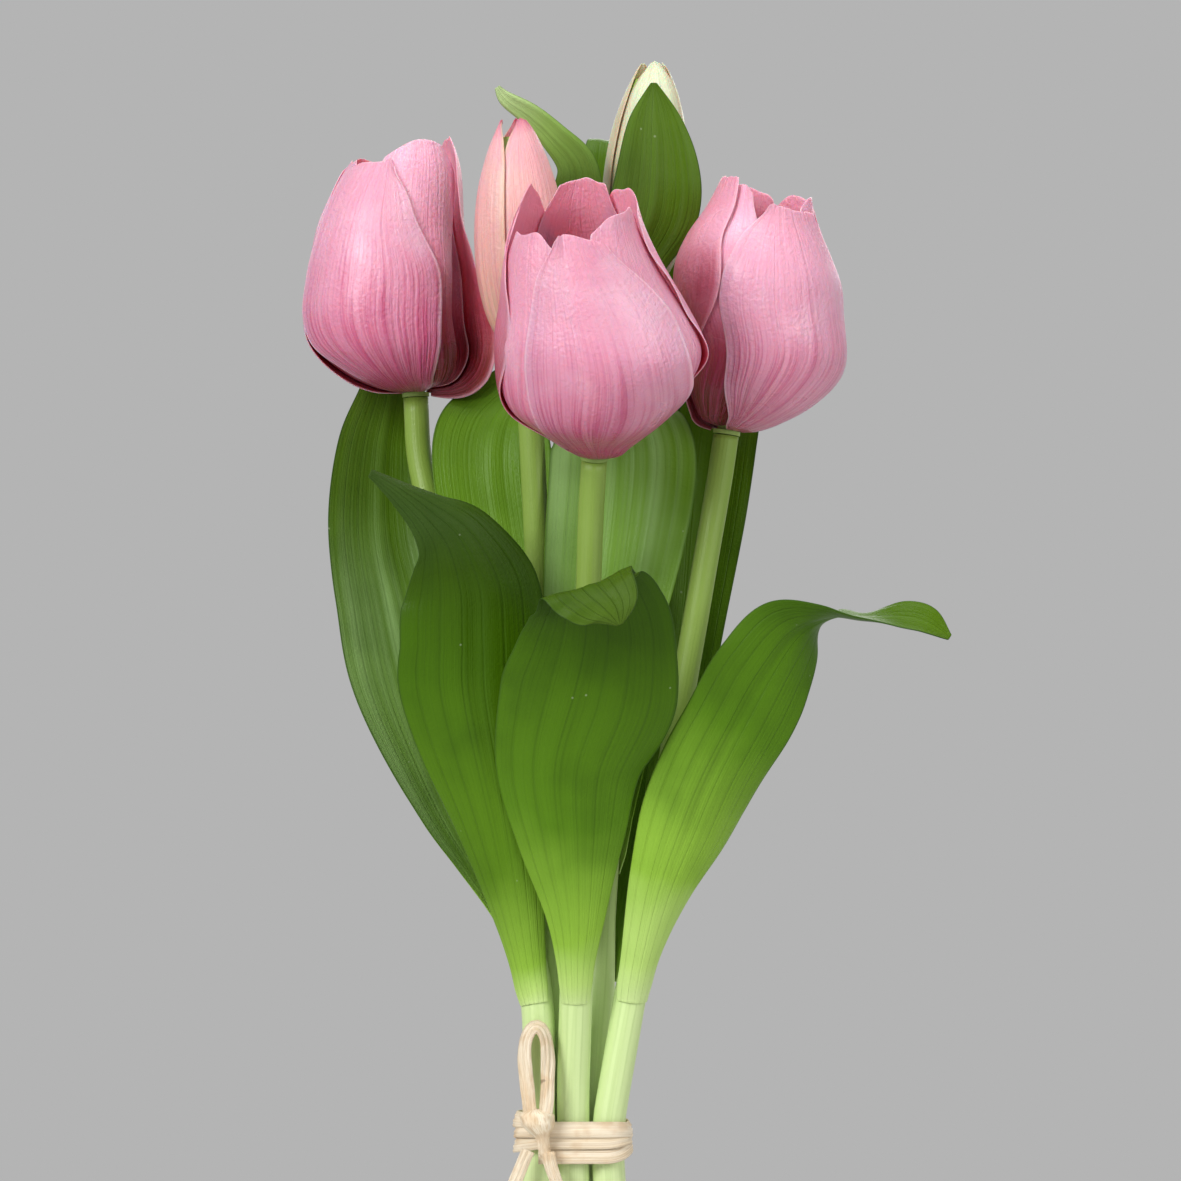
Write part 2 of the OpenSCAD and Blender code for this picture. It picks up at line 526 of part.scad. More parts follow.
// Centre of a stem at a height above the tie
function stem_h(name, z) = let (
    b = bend_start(name),
    s = rise_start(name),
    f = foot_lean(name),
    a = asin(min(sin(f) + (z - b[1]) / bend_r, 1))
  )
  z > s[1] ? s[0] + (z - s[1]) * tan(rise_lean(name))
  : z > b[1] ? b[0] + bend_r * (cos(f) - cos(a)) : b[0] + (z - b[1]) * tan(f);
function stem_at(name, z) = let (h = stem_h(name, z))
  [waist(name)[0] + h * cos(compass(name)), waist(name)[1] + h * sin(compass(name)), z];
function stem_r_at(name, z) = let (
    l = (z - rise_start(name)[1]) / cos(rise_lean(name)) - thick_l(name),
    s = min(max(l / taper_l, 0), 1)
  ) stem_r + (neck_r - stem_r) * s;

// Point of a leaf's inner face, moved outwards by lift
function leaf_point(rows, start, l, half_w, collar_r, phase, u, v, lift) =
  let (
    step = 0.01,
    row = along(rows, v),
    ahead = along(rows, v + step),
    behind = along(rows, v - step),
    d = [for (k = [0:2]) ahead[k] - behind[k]],
    t = unit(d),
    compass_b = [cos(row[7]) * cos(row[6]), cos(row[7]) * sin(row[6]), sin(row[7])],
    b = unit(compass_b - (compass_b * t) * t),
    n = cross(t, b),
    wrap = max(row[5], 1),
    arc = wrap * PI / 180,
    w = collar_r * rows[0][5] * PI / 180 * max(row[3], 0) + half_w * max(row[4], 0),
    bend = w / arc,
    wave = ripple * u * u * sin(360 * RIPPLES * v + phase) * min(max(row[4], 0), 1)
  )
  start + l * [row[0], row[1], row[2]]
    + b * (bend + lift) * sin(u * wrap)
    + n * (bend - (bend + lift) * cos(u * wrap) + wave);

module leaf(name) {
  row = row_of(LEAF_ROWS, name);
  rows = row_of(LEAF_SHARES, name)[1];
  z = tie_h + collar_h * row[2];
  collar_r = stem_r_at(row[1], z) + leaf_gap;
  start = stem_at(row[1], z) + collar_r * [cos(row[3]), sin(row[3]), 0];
  function face(lift) = [for (i = [0:LEAF_RINGS]) [for (j = [0:LEAF_COLS])
    leaf_point(rows, start, row[4], row[5], collar_r, row[6], 2 * j / LEAF_COLS - 1, i / LEAF_RINGS, lift)]];
  color("olivedrab") skin(face(leaf_t), face(0));
}

// The band: one strand wound round the five stems
BAND_STEPS = 24;
BAND_SIDES = 6;
band_start = -91;
band_foot = tie_h - strand_pitch * strand_turns / 2;
band_r = stem_r + tie_gap + strand_t / 2;

// Centre of the stem that the strand lies on, where its outward direction is angle
function held_by(angle) =
  let (
    out = [cos(angle), sin(angle)],
    reach = [for (t = TULIPS) waist(t) * out],
    most = max(reach)
  )
  [for (t = TULIPS) if (waist(t) * out == most) waist(t)][0];
function band_ring(k) =
  let (
    turn = k / BAND_STEPS,
    angle = band_start + 360 * turn,
    out = [cos(angle), sin(angle)],
    c = held_by(angle) + band_r * out,
    z = band_foot + strand_pitch * turn
  )
  [for (s = [0:BAND_SIDES - 1])
    let (a = 360 * (s + 0.5) / BAND_SIDES, across = strand_t / 2 * cos(a), up = strand_w / 2 * sin(a))
    [c[0] + out[0] * across, c[1] + out[1] * across, z + up]];
// A wound end runs straight on for one strand width
function band_end(ring, side) =
  let (along_x = -sin(band_start) * strand_w, along_y = cos(band_start) * strand_w)
  [for (p = ring) p + side * [along_x, along_y, 0]];
band_rings = let (last = BAND_STEPS * strand_turns, rings = [for (k = [0:last]) band_ring(k)])
  concat([band_end(rings[0], -1)], rings, [band_end(rings[last], 1)]);

// A tube through rings of points
module swept(rings) {
  n = len(rings[0]);
  last = len(rings) - 1;
  faces = [
    for (k = [0:last - 1], s = [0:n - 1]) let (a = k * n + s, b = k * n + (s + 1) % n)
      each [[a, b + n, b], [a, a + n, b + n]],
    for (s = [1:n - 2]) [0, s, s + 1],
    for (s = [1:n - 2]) [last * n, last * n + s + 1, last * n + s]
  ];
  polyhedron([for (ring = rings) each ring], faces, convexity = 8);
}

module tie_band() {
  color("tan") swept(band_rings);
}

// Least gap of the band to itself, from one turn to the next
band_gaps = [for (k = [0:BAND_STEPS * (strand_turns - 1)], m = [-3:3], p = band_rings[k + 1])
  let (other = band_rings[min(k + 1 + BAND_STEPS + m, len(band_rings) - 1)])
    min([for (q = other) norm(p - q)])];
echo(least_gap_of_band = min(band_gaps));

// The knot lies on the band in front of the left stem
knot_out = band_r + strand_t / 2 + tie_gap + knot_d / 2;
knot_x = waist("left")[0] + knot_out * cos(band_start);
knot_y = waist("left")[1] + knot_out * sin(band_start);
knot_z = tie_h + strand_pitch;

module tie_knot() {
  waist_share = 0.8;
  color("burlywood") translate([knot_x, knot_y, knot_z - knot_h / 2]) rotate_extrude()
    polygon([for (i = [0:12]) let (s = i / 12, swell = pow(sin(180 * s), 0.5))
      [knot_d / 2 * swell * (1 - (1 - waist_share) * pow(cos(360 * s), 2) / 2), knot_h * s]]);
}

// Routes of the loop and the tails, with heights measured from the tie
LOOP_ROUTE = [[-9.35, -8.4, 7], [-9.8, -7.8, 11.6], [-10.3, -7.1, 16], [-10.6, -6.8, 20], [-10.2, -6.7, 23.6],
  [-8.9, -6.7, 26], [-7.3, -6.7, 26.2], [-6, -6.7, 24], [-5.5, -6.8, 20], [-5.5, -7.1, 16],
  [-5.6, -7.8, 11.6], [-5.95, -8.4, 7]];
LEFT_TAIL_ROUTE = [[-9.8, -8.4, -0.6], [-11.2, -8.4, -4], [-12.8, -8.4, -8], [-14.4, -8.4, -13],
  [-15.6, -8.4, -18.5], [-16.4, -8.4, -24.5], [-16.8, -8.4, -30.5], [-17, -8.4, -36.5], [-17, -8.4, -42.5]];
RIGHT_TAIL_ROUTE = [[-5.4, -8.4, -1], [-4.8, -8.4, -4], [-3.4, -8.4, -8], [-1.8, -8.4, -12.5],
  [-0.4, -8.4, -18], [0.6, -8.4, -24], [1.2, -8.4, -30], [1.4, -8.4, -36]];
STRAND_SIDES = 8;

// Rings of a flat strand whose thickness points to the front
function strand_rings(route, w, t) = let (last = len(route) - 1)
  [for (k = [0:last])
    let (
      run = unit(route[min(k + 1, last)] - route[max(k - 1, 0)]),
      side = unit(cross(run, [0, 1, 0])),
      face = cross(side, run)
    )
    [for (s = [0:STRAND_SIDES - 1])
      let (a = 360 * (s + 0.5) / STRAND_SIDES)
      route[k] + side * w / 2 * cos(a) + face * t / 2 * sin(a)]];

module strand(route) {
  color("wheat") translate([0, 0, tie_h]) swept(strand_rings(route, tail_w, tail_t));
}

for (t = TULIPS) {
  stem(t);
  stem_wire(t);
  leaf(str(t, "_tall"));
  leaf(str(t, "_short"));
}
for (t = BLOOMS) {
  bloom_base(t);
  bloom_stamens(t);
}
for (t = BLOOMS, i = [1:3]) {
  bloom_petal(t, i, false);
  bloom_petal(t, i, true);
}
for (t = BUDS) {
  bud_core(t);
}
for (t = BUDS, i = [1:3]) {
  bud_petal(t, i);
}
tie_band();
tie_knot();
strand(LOOP_ROUTE);  // tie_loop
strand(LEFT_TAIL_ROUTE);  // tie_left_tail
strand(RIGHT_TAIL_ROUTE);  // tie_right_tail
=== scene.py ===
import math

import bmesh
import bpy
from mathutils import Matrix, Vector, noise


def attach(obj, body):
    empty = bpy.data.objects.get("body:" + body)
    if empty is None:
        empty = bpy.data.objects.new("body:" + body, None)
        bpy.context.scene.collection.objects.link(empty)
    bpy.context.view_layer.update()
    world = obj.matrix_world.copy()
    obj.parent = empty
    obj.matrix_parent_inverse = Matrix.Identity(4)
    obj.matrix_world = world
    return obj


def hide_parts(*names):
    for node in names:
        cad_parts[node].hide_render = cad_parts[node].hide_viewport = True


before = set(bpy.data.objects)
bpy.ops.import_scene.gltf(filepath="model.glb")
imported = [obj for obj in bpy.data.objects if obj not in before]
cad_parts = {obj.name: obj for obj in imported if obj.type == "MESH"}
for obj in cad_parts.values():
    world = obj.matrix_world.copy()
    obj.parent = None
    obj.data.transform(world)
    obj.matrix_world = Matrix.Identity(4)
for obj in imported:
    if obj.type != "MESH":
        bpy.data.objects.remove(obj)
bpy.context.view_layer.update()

scene = bpy.context.scene
scene.view_settings.view_transform = "Standard"
mm = 0.001
print("stage: frame loaded")

# The studio: camera, lamps, plain grey world and a pale floor

studio = {
    "lens": 180.12, "distance": 1.3, "aim": (0.00385, 0, 0.2748),
    "backdrop": (180, 180, 180), "worldLight": 0.27,
    "floorColour": (196, 196, 194), "floorShade": 4, "floorGrain": 400, "floorRoughness": 0.8,
    "floorRadius": 1.2, "floorSides": 96,
    # name, place, size, watts
    "lamps": [
        ("keySoftbox", (-0.9, -1.1, 0.95), 0.7, 20),
        ("fillSoftbox", (1.0, -0.95, 0.6), 0.8, 6.5),
        ("topSoftbox", (0.1, -0.1, 1.3), 0.8, 8),
        ("backSoftbox", (0.2, 1.1, 0.9), 0.9, 6),
    ],
}


def linear(colour):
    # an 8 bit screen colour as the linear colour that a shader takes
    shares = [c / 255 for c in colour]
    return tuple(c / 12.92 if c <= 0.04045 else ((c + 0.055) / 1.055) ** 2.4 for c in shares) + (1,)


def addNode(tree, kind, ins=None, **settings):
    made = tree.nodes.new(kind)
    for key, value in settings.items():
        setattr(made, key, value)
    for key, value in (ins or {}).items():
        if isinstance(value, bpy.types.NodeSocket):
            tree.links.new(value, made.inputs[key])
        else:
            made.inputs[key].default_value = value
    return made


def mathNode(tree, operation, a, b=0.0, c=0.0):
    return addNode(tree, "ShaderNodeMath", {0: a, 1: b, 2: c}, operation=operation).outputs[0]


def rangeNode(tree, value, low, high, start=0.0, end=1.0, kind="SMOOTHSTEP"):
    return addNode(tree, "ShaderNodeMapRange", {
        "Value": value, "From Min": low, "From Max": high, "To Min": start, "To Max": end},
        interpolation_type=kind).outputs[0]


def aimAt(thing, target):
    way = Vector(target) - thing.location
    thing.rotation_euler = way.to_track_quat("-Z", "Y").to_euler()


def makeStudio():
    cameraData = bpy.data.cameras.new("camera")
    cameraData.lens = studio["lens"]
    camera = bpy.data.objects.new("camera", cameraData)
    aim = Vector(studio["aim"])
    camera.location = aim - Vector((0, studio["distance"], 0))
    aimAt(camera, aim)
    scene.collection.objects.link(camera)
    scene.camera = camera
    for name, place, size, watts in studio["lamps"]:
        lampData = bpy.data.lights.new(name, "AREA")
        lampData.size = size
        lampData.energy = watts
        lamp = bpy.data.objects.new(name, lampData)
        lamp.location = place
        aimAt(lamp, aim)
        scene.collection.objects.link(lamp)
    world = bpy.data.worlds.new("studioWorld")
    scene.world = world
    world.use_nodes = True
    tree = world.node_tree
    tree.nodes.clear()
    path = addNode(tree, "ShaderNodeLightPath").outputs
    seen = mathNode(tree, "MAXIMUM", path["Is Camera Ray"], path["Is Glossy Ray"])
    seen = mathNode(tree, "MAXIMUM", seen, path["Is Transmission Ray"])
    light = addNode(tree, "ShaderNodeBackground", {"Color": (1, 1, 1, 1), "Strength": studio["worldLight"]})
    plain = addNode(tree, "ShaderNodeBackground", {"Color": linear(studio["backdrop"]), "Strength": 1})
    mix = addNode(tree, "ShaderNodeMixShader", {0: seen, 1: light.outputs[0], 2: plain.outputs[0]})
    addNode(tree, "ShaderNodeOutputWorld", {"Surface": mix.outputs[0]})


def makeFloor():
    bm = bmesh.new()
    bmesh.ops.create_circle(bm, cap_ends=True, segments=studio["floorSides"], radius=studio["floorRadius"])
    mesh = bpy.data.meshes.new("floor")
    bm.to_mesh(mesh)
    bm.free()
    floor = bpy.data.objects.new("floor", mesh)
    scene.collection.objects.link(floor)
    material = bpy.data.materials.new("paleFloor")
    material.use_nodes = True
    tree = material.node_tree
    shader = tree.nodes["Principled BSDF"]
    coords = addNode(tree, "ShaderNodeTexCoord")
    grain = addNode(tree, "ShaderNodeTexNoise", {"Vector": coords.outputs["Object"],
                                                 "Scale": studio["floorGrain"]})
    paint = addNode(tree, "ShaderNodeMix", {0: grain.outputs["Fac"]}, data_type="RGBA")
    paint.inputs["A"].default_value = linear(studio["floorColour"])
    paint.inputs["B"].default_value = linear([c - studio["floorShade"] for c in studio["floorColour"]])
    tree.links.new(paint.outputs["Result"], shader.inputs["Base Color"])
    shader.inputs["Roughness"].default_value = studio["floorRoughness"]
    mesh.materials.append(material)


makeStudio()
makeFloor()
print("stage: studio ready")

# Shared curves and meshes. Shapes are worked out in millimetres and stored in metres.


def compassWay(angle):
    return Vector((math.cos(angle), math.sin(angle), 0))


def along(rows, s):
    # smooth curve through evenly spaced rows of numbers, for s from 0 to 1
    last = len(rows) - 1
    x = min(max(s, 0), 1) * last
    i = min(int(x), last - 1)
    t = x - i
    a, b, c, d = rows[max(i - 1, 0)], rows[i], rows[i + 1], rows[min(i + 2, last)]
    if not hasattr(b, "__len__"):
        a, b, c, d = [a], [b], [c], [d]
    found = [(2 * q + (r - p) * t + (2 * p - 5 * q + 4 * r - w) * t * t
              + (3 * q - p - 3 * r + w) * t ** 3) / 2 for p, q, r, w in zip(a, b, c, d)]
    return found if hasattr(rows[0], "__len__") else found[0]


def ease(low, high, x):
    # 0 below low, 1 above high and smooth between
    t = min(max((x - low) / (high - low), 0), 1)
    return t * t * (3 - 2 * t)


seedStep = 3.7  # how far apart two seeds read the noise


def wander(x, y, seed):
    # smooth noise from -1 to 1
    return noise.noise(Vector((x, y, seed * seedStep)))


def wanderRound(angle, y, seed):
    # the same, closed round a tube
    return noise.noise(Vector((math.cos(angle), math.sin(angle) + y, seed * seedStep)))


def evenly(points, step):
    # the same line with points a step apart
    points = [Vector(p) for p in points]
    made, left = [points[0]], step
    for a, b in zip(points, points[1:]):
        length = (b - a).length
        while left < length:
            made.append(a.lerp(b, left / length))
            left += step
        left -= length
    if (made[-1] - points[-1]).length < step / 2:
        made.pop()
    return made + [points[-1]]


def smoothRoute(points, step):
    # a smooth curve through given points, then even steps
    fine = 400
    return evenly([Vector(along(points, k / fine)) for k in range(fine + 1)], step)


def mappedGrid(cols, rows, pointAt, thinSide=0.8, thinFoot=0):
    # a grid whose vertices go where pointAt(u, v) says, u from -1 to 1 and v from 0 to 1
    bm = bmesh.new()
    bm.loops.layers.uv.new("UVMap")
    bmesh.ops.create_grid(bm, x_segments=cols, y_segments=rows, size=1, calc_uvs=True)
    body = bm.verts.layers.float.new("body")
    for vert in bm.verts:
        u, v = vert.co.x, (vert.co.y + 1) / 2
        foot = ease(0, thinFoot, v) if thinFoot else 1
        vert[body] = (1 - ease(thinSide, 1, abs(u))) * (1 - ease(0.9, 1, v)) * foot
        vert.co = pointAt(u, v) * mm
    return bm


mergeDist = 0.002 * mm  # vertices of a seam or a pole that become one


def tubeAlong(points, sides, sectionAt, front=Vector((0, 1, 0))):
    # a tube along points; sectionAt(share, angle) says how far out the skin is to the side and to the front
    last = len(points) - 1
    runs = [(points[min(k + 1, last)] - points[max(k - 1, 0)]).normalized() for k in range(last + 1)]

    def pointAt(u, v):
        k = round(v * last)
        side = runs[k].cross(front).normalized()
        across, out = sectionAt(v, math.pi * u)
        return points[k] + side * across + side.cross(runs[k]) * out

    bm = mappedGrid(sides, last, pointAt)
    bmesh.ops.remove_doubles(bm, verts=bm.verts, dist=mergeDist)
    ends = [e for e in bm.edges if len(e.link_faces) == 1]
    for here, there in ((points[0], points[-1]), (points[-1], points[0])):
        ring = [e for e in ends if (e.verts[0].co - here * mm).length < (e.verts[0].co - there * mm).length]
        bmesh.ops.edgeloop_fill(bm, edges=ring)
    bmesh.ops.recalc_face_normals(bm, faces=bm.faces)
    return bm


def newPiece(name, bm, materials, body, node):
    mesh = bpy.data.meshes.new(name)
    for face in bm.faces:
        face.smooth = True
    bm.to_mesh(mesh)
    bm.free()
    for material in materials:
        mesh.materials.append(material)
    piece = bpy.data.objects.new(name, mesh)
    scene.collection.objects.link(piece)
    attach(piece, body)
    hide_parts(node)
    return piece


def thicken(piece, thickness, thinShare):
    # gives a sheet its wall, thinner towards its margins, with the second material inside
    wall = piece.modifiers.new("wall", "SOLIDIFY")
    wall.thickness = thickness * mm
    wall.offset = -1
    wall.material_offset = 1
    group = piece.vertex_groups.new(name="body")
    for index, body in enumerate(piece.data.attributes["body"].data):
        group.add([index], body.value, "REPLACE")
    wall.vertex_group = "body"
    wall.thickness_vertex_group = thinShare


def refine(piece):
    fine = piece.modifiers.new("fine", "SUBSURF")
    fine.levels = 1
    fine.render_levels = 1


# Shared effects, each a node group that the materials place with their own values


def newGroup(name, ins, outs):
    # an input without a value of its own is a vector
    group = bpy.data.node_groups.new(name, "ShaderNodeTree")
    for socket, value in ins.items():
        kind = "NodeSocketVector" if value is None else "NodeSocketFloat"
        made = group.interface.new_socket(socket, in_out="INPUT", socket_type=kind)
        if value is not None:
            made.default_value = value
    for socket in outs:
        group.interface.new_socket(socket, in_out="OUTPUT", socket_type="NodeSocketFloat")
    return group, group.nodes.new("NodeGroupInput").outputs, group.nodes.new("NodeGroupOutput").inputs


def makeStreaksGroup():
    # fine lines that run up a petal, a leaf or a strand, on its own UV map
    group, ins, outs = newGroup("fineStreaks", {
        "UV": None, "Across": 40, "Along": 1.5, "Low": 0.5, "High": 0.7}, ["Mask", "Height"])
    scale = addNode(group, "ShaderNodeCombineXYZ", {0: ins["Across"], 1: ins["Along"], 2: 1})
    place = addNode(group, "ShaderNodeVectorMath", {0: ins["UV"], 1: scale.outputs[0]},
                    operation="MULTIPLY").outputs[0]
    lines = addNode(group, "ShaderNodeTexNoise", {
        "Vector": place, "Scale": 1, "Detail": 3, "Roughness": 0.55, "Distortion": 0.5}).outputs["Fac"]
    group.links.new(rangeNode(group, lines, ins["Low"], ins["High"]), outs["Mask"])
    group.links.new(lines, outs["Height"])
    return group


def makeVeinsGroup():
    # evenly spaced lines along a leaf, and its margin
    group, ins, outs = newGroup("parallelVeins", {"UV": None, "Count": 5, "Width": 0.1, "Margin": 0.04},
                                ["Lines", "Edge"])
    across = addNode(group, "ShaderNodeSeparateXYZ", {0: ins["UV"]}).outputs[0]
    wobble = addNode(group, "ShaderNodeTexNoise", {"Vector": ins["UV"], "Scale": 3}).outputs["Fac"]
    shift = mathNode(group, "MULTIPLY_ADD", wobble, 0.03, across)
    fold = mathNode(group, "PINGPONG", mathNode(group, "MULTIPLY", shift, ins["Count"]), 0.5)
    rim = mathNode(group, "PINGPONG", across, 0.5)
    group.links.new(rangeNode(group, fold, 0, ins["Width"], 1, 0), outs["Lines"])
    group.links.new(rangeNode(group, rim, 0, ins["Margin"], 1, 0), outs["Edge"])
    return group


def makeBlotchGroup():
    # slow change of tone over a surface, a fine grain and rare specks, on object coordinates
    group, ins, outs = newGroup("softBlotches", {"Place": None, "Scale": 60, "Grain": 1500},
                                ["Tone", "Grain", "Specks"])
    for name, scale in (("Tone", "Scale"), ("Grain", "Grain")):
        soft = addNode(group, "ShaderNodeTexNoise", {
            "Vector": ins["Place"], "Scale": ins[scale], "Detail": 2}).outputs["Fac"]
        group.links.new(soft, outs[name])
    cells = addNode(group, "ShaderNodeTexVoronoi", {"Vector": ins["Place"], "Scale": 330}).outputs
    spots = rangeNode(group, cells["Distance"], 0.05, 0.11, 1, 0, "LINEAR")
    rare = addNode(group, "ShaderNodeSeparateColor", {0: cells["Color"]}).outputs[0]
    few = mathNode(group, "MULTIPLY", spots, mathNode(group, "GREATER_THAN", rare, 0.93))
    group.links.new(few, outs["Specks"])
    return group


streaksGroup, veinsGroup, blotchGroup = makeStreaksGroup(), makeVeinsGroup(), makeBlotchGroup()


class Surface:
    # a new material with the nodes that most of them share

    def __init__(self, name, roughness, specular, blotchScale, grainScale):
        self.material = bpy.data.materials.new(name)
        self.material.use_nodes = True
        self.tree = self.material.node_tree
        self.shader = self.tree.nodes["Principled BSDF"]
        self.shader.inputs["Specular IOR Level"].default_value = specular
        self.shader.inputs["Roughness"].default_value = roughness
        self.uv = addNode(self.tree, "ShaderNodeUVMap", uv_map="UVMap").outputs[0]
        self.split = addNode(self.tree, "ShaderNodeSeparateXYZ", {0: self.uv}).outputs
        self.place = addNode(self.tree, "ShaderNodeTexCoord").outputs["Object"]
        self.tone, self.grain, self.specks = self.group(
            blotchGroup, {"Place": self.place, "Scale": blotchScale, "Grain": grainScale})

    def group(self, group, ins):
        return addNode(self.tree, "ShaderNodeGroup", node_tree=group, ins=ins).outputs

    def plus(self, a, b):
        return mathNode(self.tree, "ADD", a, b)

    def times(self, first, *factors):
        for factor in factors:
            first = mathNode(self.tree, "MULTIPLY", first, factor)
        return first

    def span(self, value, low, high, start=0.0, end=1.0):
        return rangeNode(self.tree, value, low, high, start, end)

    def tint(self, colour, paint, *shares):
        # lays a paint over the colour, by the product of the shares
        return self.mix(self.times(*shares), colour, paint)

    def ramp(self, value, stops):
        made = addNode(self.tree, "ShaderNodeValToRGB", {0: value})
        cells = made.color_ramp.elements
        while len(cells) < len(stops):
            cells.new(0.5)
        for cell, (place, colour) in zip(cells, stops):
            cell.position = place
            cell.color = linear(colour)
        return made.outputs[0]

    def mix(self, share, a, b):
        made = addNode(self.tree, "ShaderNodeMix", {0: share}, data_type="RGBA")
        for socket, colour in ((made.inputs[6], a), (made.inputs[7], b)):
            if isinstance(colour, bpy.types.NodeSocket):
                self.tree.links.new(colour, socket)
            else:
                socket.default_value = linear(colour)
        return made.outputs[2]

    def streaks(self, across, lengthways, low, high):
        return self.group(streaksGroup, {"UV": self.uv, "Across": across, "Along": lengthways, "Low": low,
                                         "High": high})

    def veins(self, count, width, margin):
        return self.group(veinsGroup, {"UV": self.uv, "Count": count, "Width": width, "Margin": margin})

    def finish(self, colour, roughness, height, bumpSize):
        links = self.tree.links
        links.new(colour, self.shader.inputs["Base Color"])
        links.new(roughness, self.shader.inputs["Roughness"])
        bump = addNode(self.tree, "ShaderNodeBump", {"Height": height, "Distance": bumpSize * mm,
                                                     "Strength": 1})
        links.new(bump.outputs[0], self.shader.inputs["Normal"])
        return self.material


# Tulip stems: place in the bunch, compass angle of the plane that each bends in, and its leans

stemLook = {
    "footD": 7.2, "neckD": 5.6, "wireD": 1.8, "boreGap": 0.1, "gap": 0.3, "tieH": 153, "collarH": 31,
    "taperL": 14, "bendR": 60, "neckBendR": 40, "pegD": 3, "pegL": 6, "headGap": 0.2,
    "sides": 32, "step": 2.5, "knobs": 0.05,
    # colours up the stem from the cut end: the darker high and neck colours are partly the stem's own green
    # and partly painted shade under the heads
    "foot": (212, 228, 170), "low": (204, 226, 156), "high": (154, 182, 86), "neck": (126, 154, 62),
    "shade": (112, 148, 54), "shadeShare": 0.18, "tint": (176, 150, 96), "tintShare": 0.4,
    "roughness": 0.42, "lines": (26, 5, 0.45, 0.7), "bands": (3, 2, 0.5, 0.66),
    # heights in metres between which the colours change, and from which the tint starts
    "colourFrom": 0.1, "colourTo": 0.33, "tintFrom": 0.22, "tintTo": 0.3,
    "wireBoreL": 3, "bump": 0.12, "knobPitch": 0.06, "bendSteps": 12, "neckSteps": 8,
    # place in stem spacings, compass angle, leans of foot, rise and head, start of the bend as a share of
    # the collars' height above the tie, height of the head's base above the tie
    "left": ((-1, 0), 138, (0, 17, 3), 0.74, 165),
    "pink": ((-0.5, 0.866), 215, (0, 3.5, 4.6), 1.48, 174),
    "centre": ((0, 0), -77.5, (0, 8.1, 17), 0.247, 150),
    "right": ((1, 0), 6.2, (-3.5, 9.9, 8.5), -0.148, 156),
    "cream": ((0.5, 0.866), 62.6, (-3.5, 7.9, 2), -0.0987, 189),
}
tulips = ["left", "centre", "right", "pink", "cream"]
headBody = {"left": "left_bloom", "centre": "centre_bloom", "right": "right_bloom",
            "pink": "pink_bud", "cream": "cream_bud"}


class StemLine:
    # the centre line of one stem, in its own plane: outwards and up

    def __init__(self, name):
        look = stemLook
        place, compass, leans, bendShare, headH = look[name]
        self.footR, self.neckR = look["footD"] / 2, look["neckD"] / 2
        spacing = look["footD"] + look["gap"]
        self.waist = Vector((place[0] * spacing, place[1] * spacing, 0))
        self.compass = math.radians(compass)
        foot, rise, head = self.leans = [math.radians(a) for a in leans]
        low = self.footR * math.sin(abs(foot))
        self.footStart = Vector((-(look["tieH"] - low) * math.tan(foot), low))
        footL = (look["tieH"] + bendShare * look["collarH"] - low) / math.cos(foot)
        self.bendStart = self.footStart + self.line(footL, foot)
        self.riseStart = self.bendStart + self.arc(look["bendR"], foot, rise)
        neck = self.arc(look["neckBendR"], rise, head)
        tipL = look["pegL"] + look["headGap"] + look["wireD"]
        tip = self.line(tipL, head)
        self.riseL = (look["tieH"] + headH - self.riseStart.y - neck.y - tip.y) / math.cos(rise)
        self.neckStart = self.riseStart + self.line(self.riseL, rise)
        self.tipStart = self.neckStart + neck
        self.head = self.tipStart + tip
        collarTop = look["tieH"] + look["collarH"] + self.footR
        self.thickL = max(self.footR, (collarTop - self.riseStart.y) / math.cos(rise))

    @staticmethod
    def line(length, lean):
        return Vector((length * math.sin(lean), length * math.cos(lean)))

    @staticmethod
    def arc(radius, a, b):
        s = (b > a) - (b < a)
        return Vector((s * radius * (math.cos(a) - math.cos(b)), s * radius * (math.sin(b) - math.sin(a))))

    def place(self, p):
        return self.waist + compassWay(self.compass) * p.x + Vector((0, 0, p.y))

    def points(self):
        # from the cut end to the socket of the head
        foot, rise, head = self.leans
        made = [self.footStart]
        for start, radius, a, b, steps in (
                (self.bendStart, stemLook["bendR"], foot, rise, stemLook["bendSteps"]),
                (self.neckStart, stemLook["neckBendR"], rise, head, stemLook["neckSteps"])):
            made += [start + self.arc(radius, a, a + (b - a) * k / steps) for k in range(steps + 1)]
        return [self.place(p) for p in made + [self.head]]

    def at(self, z):
        # centre of the stem at a height between the tie and the neck
        start, bend, foot = self.riseStart, self.bendStart, self.leans[0]
        if z > start.y:
            out = start.x + (z - start.y) * math.tan(self.leans[1])
        elif z > bend.y:
            turn = math.asin(math.sin(foot) + (z - bend.y) / stemLook["bendR"])
            out = bend.x + stemLook["bendR"] * (math.cos(foot) - math.cos(turn))
        else:
            out = bend.x + (z - bend.y) * math.tan(foot)
        return self.place(Vector((out, z)))

    def radiusAt(self, z):
        length = (z - self.riseStart.y) / math.cos(self.leans[1]) - self.thickL
        return self.footR + (self.neckR - self.footR) * min(max(length / stemLook["taperL"], 0), 1)

    def headFrame(self):
        place = self.place(self.head)
        return (Matrix.Translation(place) @ Matrix.Rotation(self.compass, 4, "Z")
                @ Matrix.Rotation(self.leans[2], 4, "Y") @ Matrix.Rotation(-self.compass, 4, "Z"))


stemLines = {name: StemLine(name) for name in tulips}

# The raffia cords: a bow loop and two tails, each a folded flat strand

